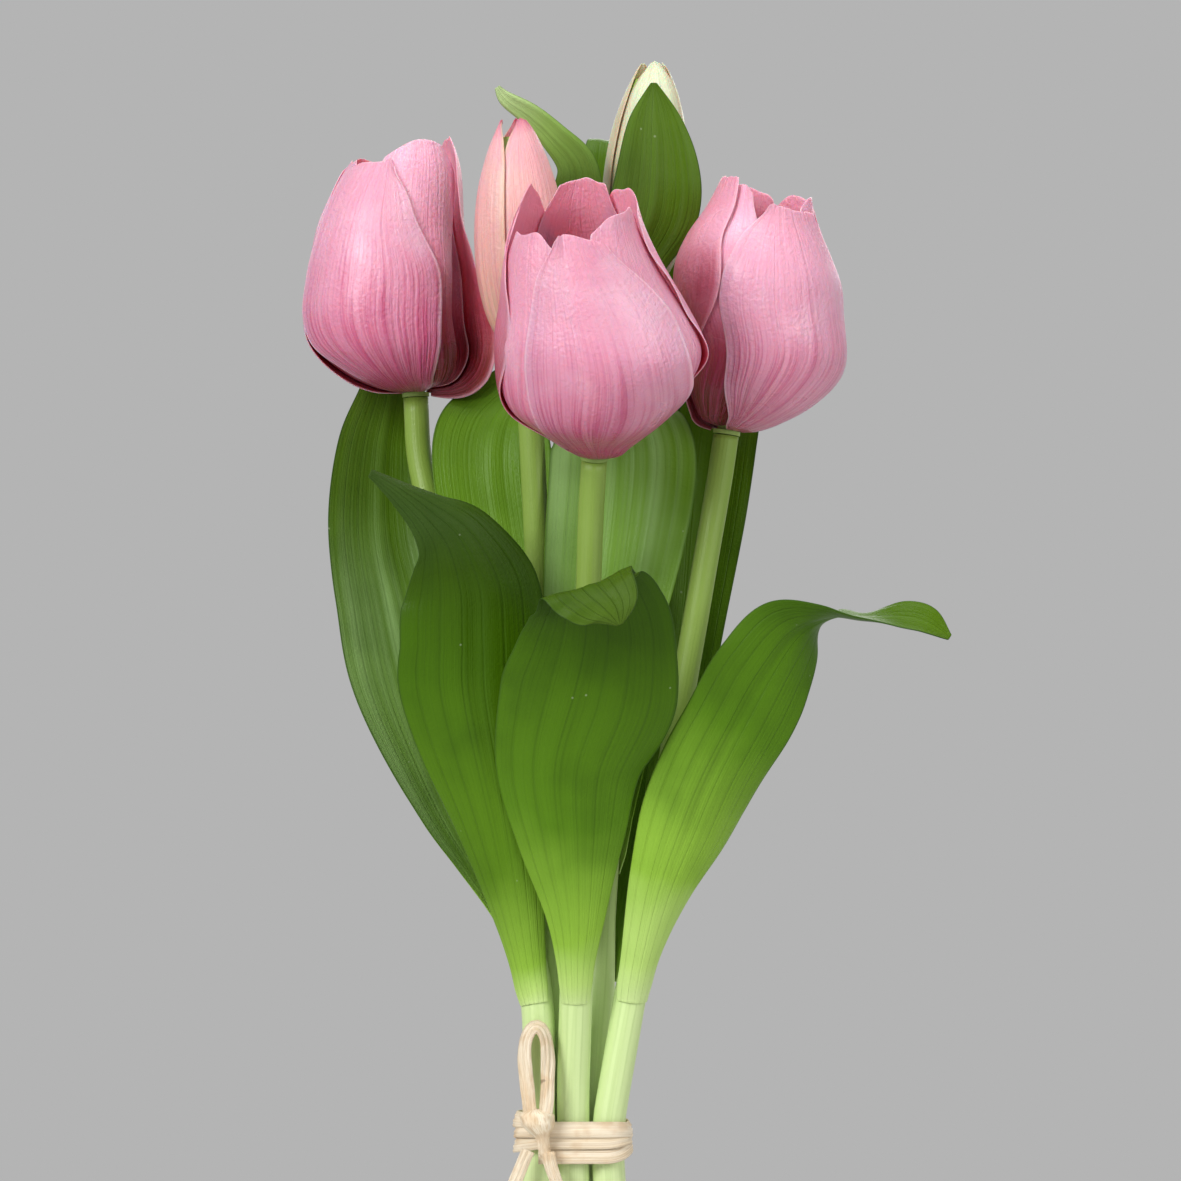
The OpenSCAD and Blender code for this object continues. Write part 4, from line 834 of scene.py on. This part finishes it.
headLook = {
    "petalT": 0.7, "receptacleD": 6, "receptacleH": 4.6, "cols": 40, "rows": 56, "thinSide": 0.5,
    "thinShare": 0.4, "ribDepth": 0.06, "ribs": 5, "fineRibs": 20, "uneven": 0.02, "dent": 0.3,
    "crownPower": 2.4, "peakWidth": 0.3, "unevenPitch": 1.4, "waverPitch": 8, "dentAcross": 1.7,
    "dentAlong": 2.4, "hangReach": 0.05,
    # a head's axis is carried sideways by its hang, in millimetres from the base to the top. Every petal
    # may change these: how far up it reaches, droop of its corners, outward bend of its tip and where that
    # starts, a peak on its top and where, waver of its margins, its lean, half of its angle, how deep it
    # lies, how far its right margin laps out, bulge of its middle, and from the claw to the tip the degrees
    # added at each margin and the millimetres that it stands out
    "plain": {"top": 1, "crown": 0.04, "tipOut": 0, "tipFrom": 0.72, "peak": 0, "peakAt": 0, "waver": 0.3,
              "lean": 0, "half": 58, "depth": 0, "lap": 0, "bulge": 0, "leftEdge": [0, 0],
              "rightEdge": [0, 0], "leftLift": [0, 0], "rightLift": [0, 0], "skin": "pale",
              "inside": "inside"},
    # every ring's name in its pieces, the turn and seed that it adds, and what its petals change
    "outer": {"piece": "BloomOuter", "turn": 0, "seed": 0},
    "inner": {"piece": "BloomInner", "turn": 60, "seed": 5, "half": 52, "depth": 1.15, "bulge": 0.6,
              "skin": "deep"},
    "bud": {"piece": "Bud", "turn": 0, "seed": 0, "half": 65, "depth": 0.7, "lap": 0.35, "waver": 0.15},
    "bloomHead": {"slot": "petal", "rings": ["outer", "inner"],
                  "widths": [0.85, 0.95, 1, 1, 1, 0.99, 0.96, 0.9, 0.8, 0.55]},
    "budHead": {
        "height": 51, "seed": 40, "rings": ["bud"], "widths": [0.7, 0.88, 1, 1, 1, 1, 1, 0.97, 0.8, 0.4],
        "outline": [(0, 0), (0.42, 0.04), (0.76, 0.14), (0.95, 0.28), (1, 0.42), (0.94, 0.57), (0.78, 0.72),
                    (0.5, 0.86), (0.2, 0.96), (-0.03, 1.02)]},
    "left": {
        "seed": 0, "radius": 19, "height": 58, "front": -108,
        "hang": [0, -2.2, -4.4, -5.5, -5.2, -4.9, -4.8, -4.1, -2.6, -1.2, 0],
        "outline": [(0, 0), (0.36, 0.015), (0.7, 0.075), (0.95, 0.175), (1.01, 0.3), (0.98, 0.45),
                    (0.9, 0.6), (0.8, 0.74), (0.64, 0.88), (0.4, 1)],
        "outer": [{"top": 0.905, "crown": 0.02, "lean": 8, "leftEdge": [-20, -22, -2, 2, -2, 14],
                   "leftLift": [0, 0.2, 0.5, 0.5, 0.2, 0], "rightEdge": [0, -12, -4, 0, -14, -22],
                   "rightLift": [0, 0.3, 0.5, 0.5, 0.4, 0.3]},
                  {"tipOut": 0.6, "peak": 0.05, "peakAt": -0.2, "leftEdge": [-24, -36, -44, -34, -14, -6],
                   "leftLift": [1, 4.2, 4.6, 1.6, 0.8, 0.3], "waver": 0.6, "skin": "shade"},
                  {"top": 0.94, "rightLift": [0, 0.9, 0.9, -0.5, -0.4, 0],
                   "rightEdge": [-4, -2, 2, 7, 8, 20]}],
        "inner": [{"top": 0.98, "rightEdge": [-34, -40, -42, -36, -18, 0], "crown": 0.05,
                   "leftEdge": [0, 0, 0, 4, 16, 34]}, {"top": 0.94}, {"top": 0.93}]},
    "centre": {
        "seed": 10, "radius": 22.3, "height": 61, "front": -92,
        "hang": [0, -2.6, -2.6, -1.2, -0.2, -1.2, -2.8, -4.8, -6, -6.7, -6.3],
        "outline": [(0, 0), (0.16, 0.02), (0.36, 0.07), (0.7, 0.155), (0.93, 0.28), (1.03, 0.42),
                    (0.89, 0.57), (0.73, 0.71), (0.55, 0.86), (0.4, 1)],
        "outer": [{"top": 0.89, "crown": 0.03, "lean": -26, "leftEdge": [-17, -17, -20, -17, -21, -26],
                   "leftLift": [0, 0.2, 0.1, 0.1, 0.2, 0.1], "rightEdge": [0, 8, 31, 6, 14, 7],
                   "rightLift": [0, 0.4, 0.8, 0.8, 0.7, 0.3]},
                  {"top": 0.97, "waver": 1.2, "leftLift": [0, -0.4, -0.6, 0.2, 0.3, 0.2],
                   "leftEdge": [-20, -25, -30, -23, -9, 14]},
                  {"top": 0.94, "waver": 0.4, "peak": 0.05, "peakAt": 0.5, "crown": 0.12, "skin": "shade",
                   "rightEdge": [-4, -10, -10, 4, 4, 0], "rightLift": [0, 0, 0.6, -0.4, 0.5, 0]}],
        "inner": [{"top": 0.945, "waver": 0.9, "skin": "pale", "leftEdge": [0, 0, 0, 0, 8, 18]},
                  {"top": 0.98, "crown": 0.01},
                  {"top": 0.87, "peak": 0.025, "peakAt": 0.5, "rightEdge": [0, 0, 0, 0, 8, 14],
                   "skin": "pale"}]},
    "right": {
        "seed": 20, "radius": 18.6, "height": 56, "front": -74,
        "hang": [0, 2.6, 4.8, 6.4, 5, 3, 2, 1.2, 0.7, 0.8, 0.9],
        "outline": [(0, 0), (0.2, 0.015), (0.42, 0.06), (0.7, 0.15), (0.9, 0.29), (1, 0.45), (1, 0.62),
                    (0.84, 0.75), (0.62, 0.87), (0.46, 1)],
        "outer": [{"top": 0.93, "crown": 0.02, "skin": "light", "leftEdge": [-30, -34, -14, -9, -15, -20],
                   "leftLift": [0, 0.3, 0.3, -0.2, -0.2, 0], "rightEdge": [10, 16, 18, 16, 12, 14],
                   "rightLift": [0, 0.3, 0.5, 0.5, 0.4, 0.2]},
                  {"top": 0.98, "leftLift": [0, 0, -0.4, -0.5, -0.4, 0]},
                  {"peak": 0.05, "peakAt": 0.9, "rightEdge": [-30, -40, -28, 17, 22, 34],
                   "rightLift": [0.6, 1, 0.8, 0.4, 0.4, 0.3], "skin": "shade"}],
        "inner": [{"top": 0.97}, {"waver": 0.8}, {"top": 0.98}]},
    "pink": {"slot": "pink_bud", "radius": 10.8, "front": -52, "hang": [0, 0.1, 0.4],
             "bud": [{"skin": "pink", "inside": "pink"}] * 3},
    "cream": {"slot": "cream_bud", "radius": 10.4, "front": -90, "hang": [0, 1.1, 2.2],
              "bud": [{"skin": "cream", "inside": "cream"}] * 3},
}
clawR = headLook["receptacleD"] / 2 + 2 * stemLook["headGap"]
clawZ = 2 * stemLook["headGap"] + headLook["petalT"]


def outlinePoint(head, v, depth):
    # how far out and how high the head's skin is at v, and the share of its height
    step, radius, height = 0.01, head["radius"], head["height"]
    p, ahead, behind = [along(head["outline"], place) for place in (v, v + step, v - step)]
    run = Vector(((ahead[0] - behind[0]) * (radius - clawR), (ahead[1] - behind[1]) * (height - clawZ)))
    run.normalize()
    rise = min(max(p[1], 0), 1)
    beyond = max(v - 1, 0) * height
    return (clawR + (radius - clawR) * p[0] - depth * run.y + beyond * run.x,
            clawZ + (height - clawZ) * p[1] + depth * run.x + beyond * run.y, rise)


def petalPoint(head, petal, middle, seed, u, v):
    look = headLook
    side, share = ("right" if u > 0 else "left"), abs(u)
    reach = petal["top"] * v * (1 - petal["crown"] * share ** look["crownPower"] * v ** 3)
    reach += petal["peak"] * math.exp(-((u - petal["peakAt"]) / look["peakWidth"]) ** 2) * ease(0.72, 1, v)
    reach += look["uneven"] * wander(u * look["unevenPitch"] + 5, seed, 31) * ease(0.75, 1, v)
    spread = petal["half"] * along(head["widths"], v) + along(petal[side + "Edge"], v)
    rib = wander(u * look["ribs"] + 0.8 * v, v * 1.6, seed)
    rib += 0.5 * wander(u * look["fineRibs"], v * 2.6, seed + 3)
    lift = look["ribDepth"] * rib * (1.1 - 0.6 * v) * ease(0, 0.12, v)
    lift += along(petal[side + "Lift"], v) * share ** 4
    lift += petal["waver"] * share ** 5 * wander(u, v * look["waverPitch"], seed + 9) * ease(0.08, 0.3, v)
    lift += petal["tipOut"] * ease(petal["tipFrom"], 1, v) ** 2
    dent = wander(u * look["dentAcross"] + 3, v * look["dentAlong"], seed + 17)
    lift += look["dent"] * dent * ease(0, 0.2, v)
    lift += petal["lap"] * u * min(4 * v, 1) + petal["bulge"] * (1 - u * u)
    r, z, rise = outlinePoint(head, reach, petal["depth"] - lift)
    angle = math.radians(middle + petal["lean"] * (v - 0.5) + u * spread)
    near = look["hangReach"]
    shift = sum(along(head["hang"], rise + step) for step in (-near, 0, near)) / 3 * min(rise / near, 1)
    return Vector((r * math.cos(angle) + shift, r * math.sin(angle), z))


petalFinish = {
    "specular": 0.5, "blotch": 70, "grain": 1100, "thinLine": (170, 40, 92), "bump": 0.34,
    "toneReach": 0.16, "broad": (13, 1, 0.44, 0.64), "fine": (42, 1.3, 0.49, 0.6),
    "thin": (70, 0.9, 0.56, 0.61),
    "sheen": {"Subsurface Weight": 0.4, "Subsurface Scale": 2.5 * mm, "Coat Weight": 0.2,
              "Coat Roughness": 0.22},
}


def petalMaterial(name, stops, streak, edge, roughness, streakShare=0.8, grain=0.8, rim=0.04):
    look = petalFinish
    s = Surface(name, roughness, look["specular"], look["blotch"], look["grain"])
    rise = mathNode(s.tree, "SUBTRACT", s.split[1], look["toneReach"] / 2)
    colour = s.ramp(mathNode(s.tree, "MULTIPLY_ADD", s.tone, look["toneReach"], rise), stops)
    broad, fine, thin = [s.streaks(*look[lines]) for lines in ("broad", "fine", "thin")]
    low = s.span(mathNode(s.tree, "MULTIPLY_ADD", s.tone, 0.5, s.split[1]), 0.4, 1.05, 1, 0.08)
    for lines, share in ((broad, 0.6), (fine, 1)):
        colour = s.tint(colour, streak, lines["Mask"], low, share * streakShare)
    # a rim of the edge colour along the margins: on the blooms partly their own pale margin and partly a
    # painted highlight on the edge
    colour = s.tint(colour, edge, s.veins(1, 0.1, rim)["Edge"], 0.6)
    # soft patches of the edge colour over the upper part: on the blooms painted highlights
    colour = s.tint(colour, edge, s.span(s.tone, 0.45, 0.7, 0, 0.3), s.span(s.split[1], 0.4, 0.7))
    colour = s.tint(colour, look["thinLine"], thin["Mask"], low, 0.7 * streakShare)
    relief = s.plus(s.times(fine["Height"], 1.7), s.times(broad["Height"], 2.6))
    relief = s.times(relief, mathNode(s.tree, "MULTIPLY_ADD", low, 0.6, 0.4))
    for socket, value in look["sheen"].items():
        s.shader.inputs[socket].default_value = value
    rough = s.span(s.tone, 0.3, 0.7, roughness + 0.08, roughness - 0.1)
    return s.finish(colour, rough, s.plus(relief, s.times(s.grain, grain)), look["bump"])


petalSkins = {
    "pale": petalMaterial("petalOuter", [
        (0, (120, 70, 40)), (0.04, (140, 40, 56)), (0.14, (178, 74, 106)), (0.4, (214, 128, 158)),
        (0.72, (226, 156, 180)), (1, (226, 150, 174))], (190, 60, 112), (244, 196, 212), 0.36),
    "light": petalMaterial("petalLight", [
        (0, (150, 80, 50)), (0.04, (170, 70, 86)), (0.14, (206, 116, 140)), (0.36, (224, 146, 172)),
        (0.72, (230, 162, 186)), (1, (230, 156, 178))], (198, 76, 124), (244, 198, 214), 0.36, 0.7),
    # a darker, redder copy of the skin for the petals at the far sides: painted shade
    "shade": petalMaterial("petalPaintedShade", [
        (0, (100, 18, 18)), (0.2, (122, 30, 36)), (0.42, (158, 60, 78)), (0.62, (194, 102, 124)),
        (0.82, (220, 142, 164)), (1, (226, 150, 172))], (150, 40, 60), (236, 176, 194), 0.36, 0.6),
    # outer side of the inner petals: the dark red low part is painted shade inside the cup
    "deep": petalMaterial("petalDeepPaintedShade", [
        (0, (70, 8, 4)), (0.28, (116, 18, 20)), (0.44, (182, 76, 96)), (0.6, (226, 148, 174)),
        (0.85, (236, 170, 194)), (1, (230, 156, 180))], (176, 64, 104), (248, 200, 216), 0.3),
    # inner face of the petals: the dark red low part is painted shade on the cup's floor
    "inside": petalMaterial("petalInnerPaintedShade", [
        (0, (86, 6, 2)), (0.3, (120, 14, 12)), (0.5, (206, 96, 122)), (0.7, (246, 160, 186)),
        (1, (250, 168, 192))], (190, 70, 100), (250, 176, 196), 0.42, 0.35),
    "pink": petalMaterial("pinkBudSkin", [
        (0, (176, 172, 116)), (0.15, (212, 170, 140)), (0.5, (228, 166, 160)), (0.85, (236, 168, 176)),
        (0.96, (224, 130, 150)), (1, (190, 70, 110))],
        (214, 128, 140), (222, 186, 152), 0.42, 0.4, 0.5, 0.09),
    # the cream bud's beige rim is partly its margin's own colour and partly painted shade on its petals'
    # edges
    "cream": petalMaterial("creamBudSkin", [
        (0, (176, 194, 120)), (0.3, (196, 204, 156)), (0.8, (216, 220, 186)), (1, (222, 224, 190))],
        (190, 200, 146), (192, 154, 124), 0.42, 0.35, 0.5, 0.2),
}


def makeHead(name):
    # the petals of each ring stand a third of a turn apart
    look, place = headLook, stemLines[name].headFrame()
    head = {**look["budHead" if "bud" in look[name] else "bloomHead"], **look[name]}
    for ring in head["rings"]:
        for i, changes in enumerate(head[ring]):
            petal = {**look["plain"], **look[ring], **changes}
            middle = head["front"] + petal["turn"] + 120 * i
            seed = head["seed"] + petal["seed"] + i
            bm = mappedGrid(look["cols"], look["rows"],
                            lambda u, v: place @ petalPoint(head, petal, middle, seed, u, v),
                            look["thinSide"])
            finishes = [petalSkins[petal[face]] for face in ("skin", "inside")]
            piece = newPiece(f"{name}{petal['piece']}Petal{i + 1}", bm, finishes, headBody[name],
                             f"{name}_{ring}_petal_{i + 1}")
            thicken(piece, look["petalT"], look["thinShare"])
            refine(piece)


for name in tulips:
    makeHead(name)
print("stage: flower heads")

# Inside of the blooms: pistil and stamens

stamenLook = {
    "pistilH": 19, "pistilD": 4, "lobeD": 2.8, "lobeStretch": 1.1, "filamentL": 13, "filamentD": 1,
    "antherL": 6, "antherD": 2, "lean": 12, "lobes": 3, "stamens": 6, "segments": 16, "rings": 12,
    "discTaper": 0.9, "pistilFoot": 0.5, "pistilTop": 0.38, "filamentTop": 0.4,
    "pistil": (176, 190, 96), "pistilShade": (196, 206, 120), "filament": (206, 196, 132),
    "filamentShade": (188, 176, 110), "anther": (92, 66, 40), "antherShade": (124, 92, 50),
}


def plainMaterial(name, colour, second, roughness, bumpSize=0.1):
    s = Surface(name, roughness, 0.4, 220, 2600)
    paint = s.mix(s.span(s.tone, 0.35, 0.65), colour, second)
    rough = s.span(s.tone, 0.3, 0.7, roughness - 0.05, roughness + 0.08)
    return s.finish(paint, rough, s.grain, bumpSize)


def standing(centre, way):
    return Matrix.Translation(centre * mm) @ Vector((0, 0, 1)).rotation_difference(way).to_matrix().to_4x4()


def addCone(bm, foot, way, length, low, high, index):
    made = bmesh.ops.create_cone(bm, cap_ends=True, segments=stamenLook["segments"], radius1=low * mm,
                                 radius2=high * mm, depth=length * mm,
                                 matrix=standing(foot + way * length / 2, way))
    setMaterial(made["verts"], index)


def addBall(bm, centre, way, radius, stretch, index):
    made = bmesh.ops.create_uvsphere(bm, u_segments=stamenLook["segments"], v_segments=stamenLook["rings"],
                                     radius=radius * mm,
                                     matrix=standing(centre, way) @ Matrix.Diagonal((1, 1, stretch, 1)))
    setMaterial(made["verts"], index)


def setMaterial(verts, index):
    for face in {f for vert in verts for f in vert.link_faces}:
        face.material_index = index


def makeStamens(name, finishes):
    look, up = stamenLook, Vector((0, 0, 1))
    base, lean = up * headLook["receptacleH"], math.radians(look["lean"])
    discR = headLook["receptacleD"] / 2 - stemLook["headGap"]
    bm = bmesh.new()
    bm.loops.layers.uv.new("UVMap")
    addCone(bm, base, up, look["antherD"], discR, discR * look["discTaper"], 0)
    addCone(bm, base, up, look["pistilH"], look["pistilD"] * look["pistilFoot"],
            look["pistilD"] * look["pistilTop"], 0)
    for k in range(look["lobes"]):
        side = compassWay(2 * math.pi * k / look["lobes"])
        addBall(bm, base + up * look["pistilH"] + side * look["pistilD"] / 4, up, look["lobeD"] / 2,
                look["lobeStretch"], 0)
    for k in range(look["stamens"]):
        side = compassWay(2 * math.pi * (k + 0.5) / look["stamens"])
        way = side * math.sin(lean) + up * math.cos(lean)
        foot = base + side * (discR - look["filamentD"]) + up * look["filamentD"]
        addCone(bm, foot, way, look["filamentL"], look["filamentD"] / 2,
                look["filamentD"] * look["filamentTop"], 1)
        top = foot + way * (look["filamentL"] - look["filamentD"] + look["antherL"] / 2)
        addBall(bm, top, way, look["antherD"] / 2, look["antherL"] / look["antherD"], 2)
    place = stemLines[name].headFrame()
    place.translation *= mm
    bmesh.ops.transform(bm, matrix=place, verts=bm.verts)
    newPiece(name + "BloomStamens", bm, finishes, headBody[name], name + "_bloom_stamens")


stamenFinishes = [plainMaterial(part + "Skin", stamenLook[part], stamenLook[part + "Shade"], *looks)
                  for part, looks in (("pistil", (0.45,)), ("filament", (0.5,)), ("anther", (0.8, 0.3)))]
for name in ("left", "centre", "right"):
    makeStamens(name, stamenFinishes)


def dressNodes():
    # the pieces that keep their own shape get their finish
    greenBase = plainMaterial("receptacleSkin", (150, 176, 92), (134, 160, 78), 0.5)
    steel = Surface("steelWire", 0.32, 0.5, 300, 3000)
    steel.shader.inputs["Metallic"].default_value = 1
    paint = steel.mix(steel.tone, (176, 178, 180), (150, 152, 156))
    steelFinish = steel.finish(paint, steel.span(steel.grain, 0.3, 0.7, 0.26, 0.42), steel.grain, 0.03)
    for node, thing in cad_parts.items():
        if node.endswith(("_wire", "_base", "_core")):
            thing.data.materials.clear()
            thing.data.materials.append(steelFinish if node.endswith("_wire") else greenBase)


dressNodes()
print("stage: stamens, bases and wires")

# The raffia band and its knot

bandLook = {
    "width": 3.5, "thick": 0.8, "pitch": 2.7, "turns": 3, "gap": 0.9, "start": -91, "steps": 120,
    "raise": 2.2, "sway": 0.3, "swayDrift": 2.3, "outSway": 0.12, "outDrift": 3, "step": 0.8, "sides": 32,
    "tilt": 15, "pinch": 0.3,
    # the knot's half width and half depth from the foot of its hanging strap to its top
    "knotLow": -3.2, "knotH": 12, "knotSides": 48, "knotRows": 40, "knotLean": 1.8, "knotTop": 0.7,
    "knotFold": 0.06, "knotFolds": 5, "knotTwist": 9, "knotNoise": 0.1,
    "knot": [(0, 0), (1.2, 0.7), (1.4, 0.9), (1.4, 1), (1.6, 1.1), (2.6, 1.9), (3.5, 2.6), (3.7, 2.7),
             (3.5, 2.3), (0, 0)],
}


def bandPoint(turn):
    look = bandLook
    angle = math.radians(look["start"] + 360 * turn)
    out = compassWay(angle)
    held = max((stemLines[name].waist for name in tulips), key=lambda w: w.dot(out))
    reach = stemLook["footD"] / 2 + look["gap"] + look["thick"] / 2
    reach += look["outSway"] * (1 + math.sin(angle * 2 + turn * look["outDrift"]))
    drawn = 1 - look["pinch"] * max(math.cos(angle), 0) ** 3
    z = stemLook["tieH"] + look["raise"] + look["pitch"] * (turn - look["turns"] / 2) * drawn
    z += look["sway"] * math.sin(angle + turn * look["swayDrift"])
    return held + out * reach + Vector((0, 0, z))


def makeBand():
    look = bandLook
    total = look["turns"] * look["steps"]
    points = evenly([bandPoint(k / look["steps"]) for k in range(total + 1)], look["step"])
    flat = foldedSection(look["width"], look["thick"], 4)
    # the strand's flat side lies on the stems, its lower edge tucked under the next turn
    tilt = math.radians(look["tilt"])
    bm = tubeAlong(points, look["sides"], lambda v, angle: turned(flat(v, angle)[::-1], tilt),
                   Vector((0, 0, 1)))
    newPiece("raffiaBand", bm, [raffiaFinish], "bunch", "tie_band")


def makeKnot():
    look = bandLook
    out = stemLook["footD"] / 2 + look["gap"] + look["thick"] + look["knot"][6][1]
    centre = stemLines["left"].waist + compassWay(math.radians(look["start"])) * out
    centre.z = stemLook["tieH"] + look["knotLow"]

    def pointAt(u, v):
        turn = math.pi * u
        wide, deep = along(look["knot"], v)
        fold = 1 + look["knotFold"] * math.sin(turn * look["knotFolds"] + v * look["knotTwist"])
        fold += look["knotNoise"] * wanderRound(turn, v * look["knotFolds"], 21)
        lean = look["knotLean"] * (1 - v) - look["knotTop"] * ease(0.4, 0.7, v)
        return centre + Vector((wide * fold * math.cos(turn) + lean, deep * fold * math.sin(turn),
                                look["knotH"] * v))

    bm = mappedGrid(look["knotSides"], look["knotRows"], pointAt)
    bmesh.ops.remove_doubles(bm, verts=bm.verts, dist=mergeDist)
    bmesh.ops.recalc_face_normals(bm, faces=bm.faces)
    newPiece("raffiaKnot", bm, [raffiaFinish], "bunch", "tie_knot")


makeBand()
makeKnot()
print("stage: raffia band and knot")
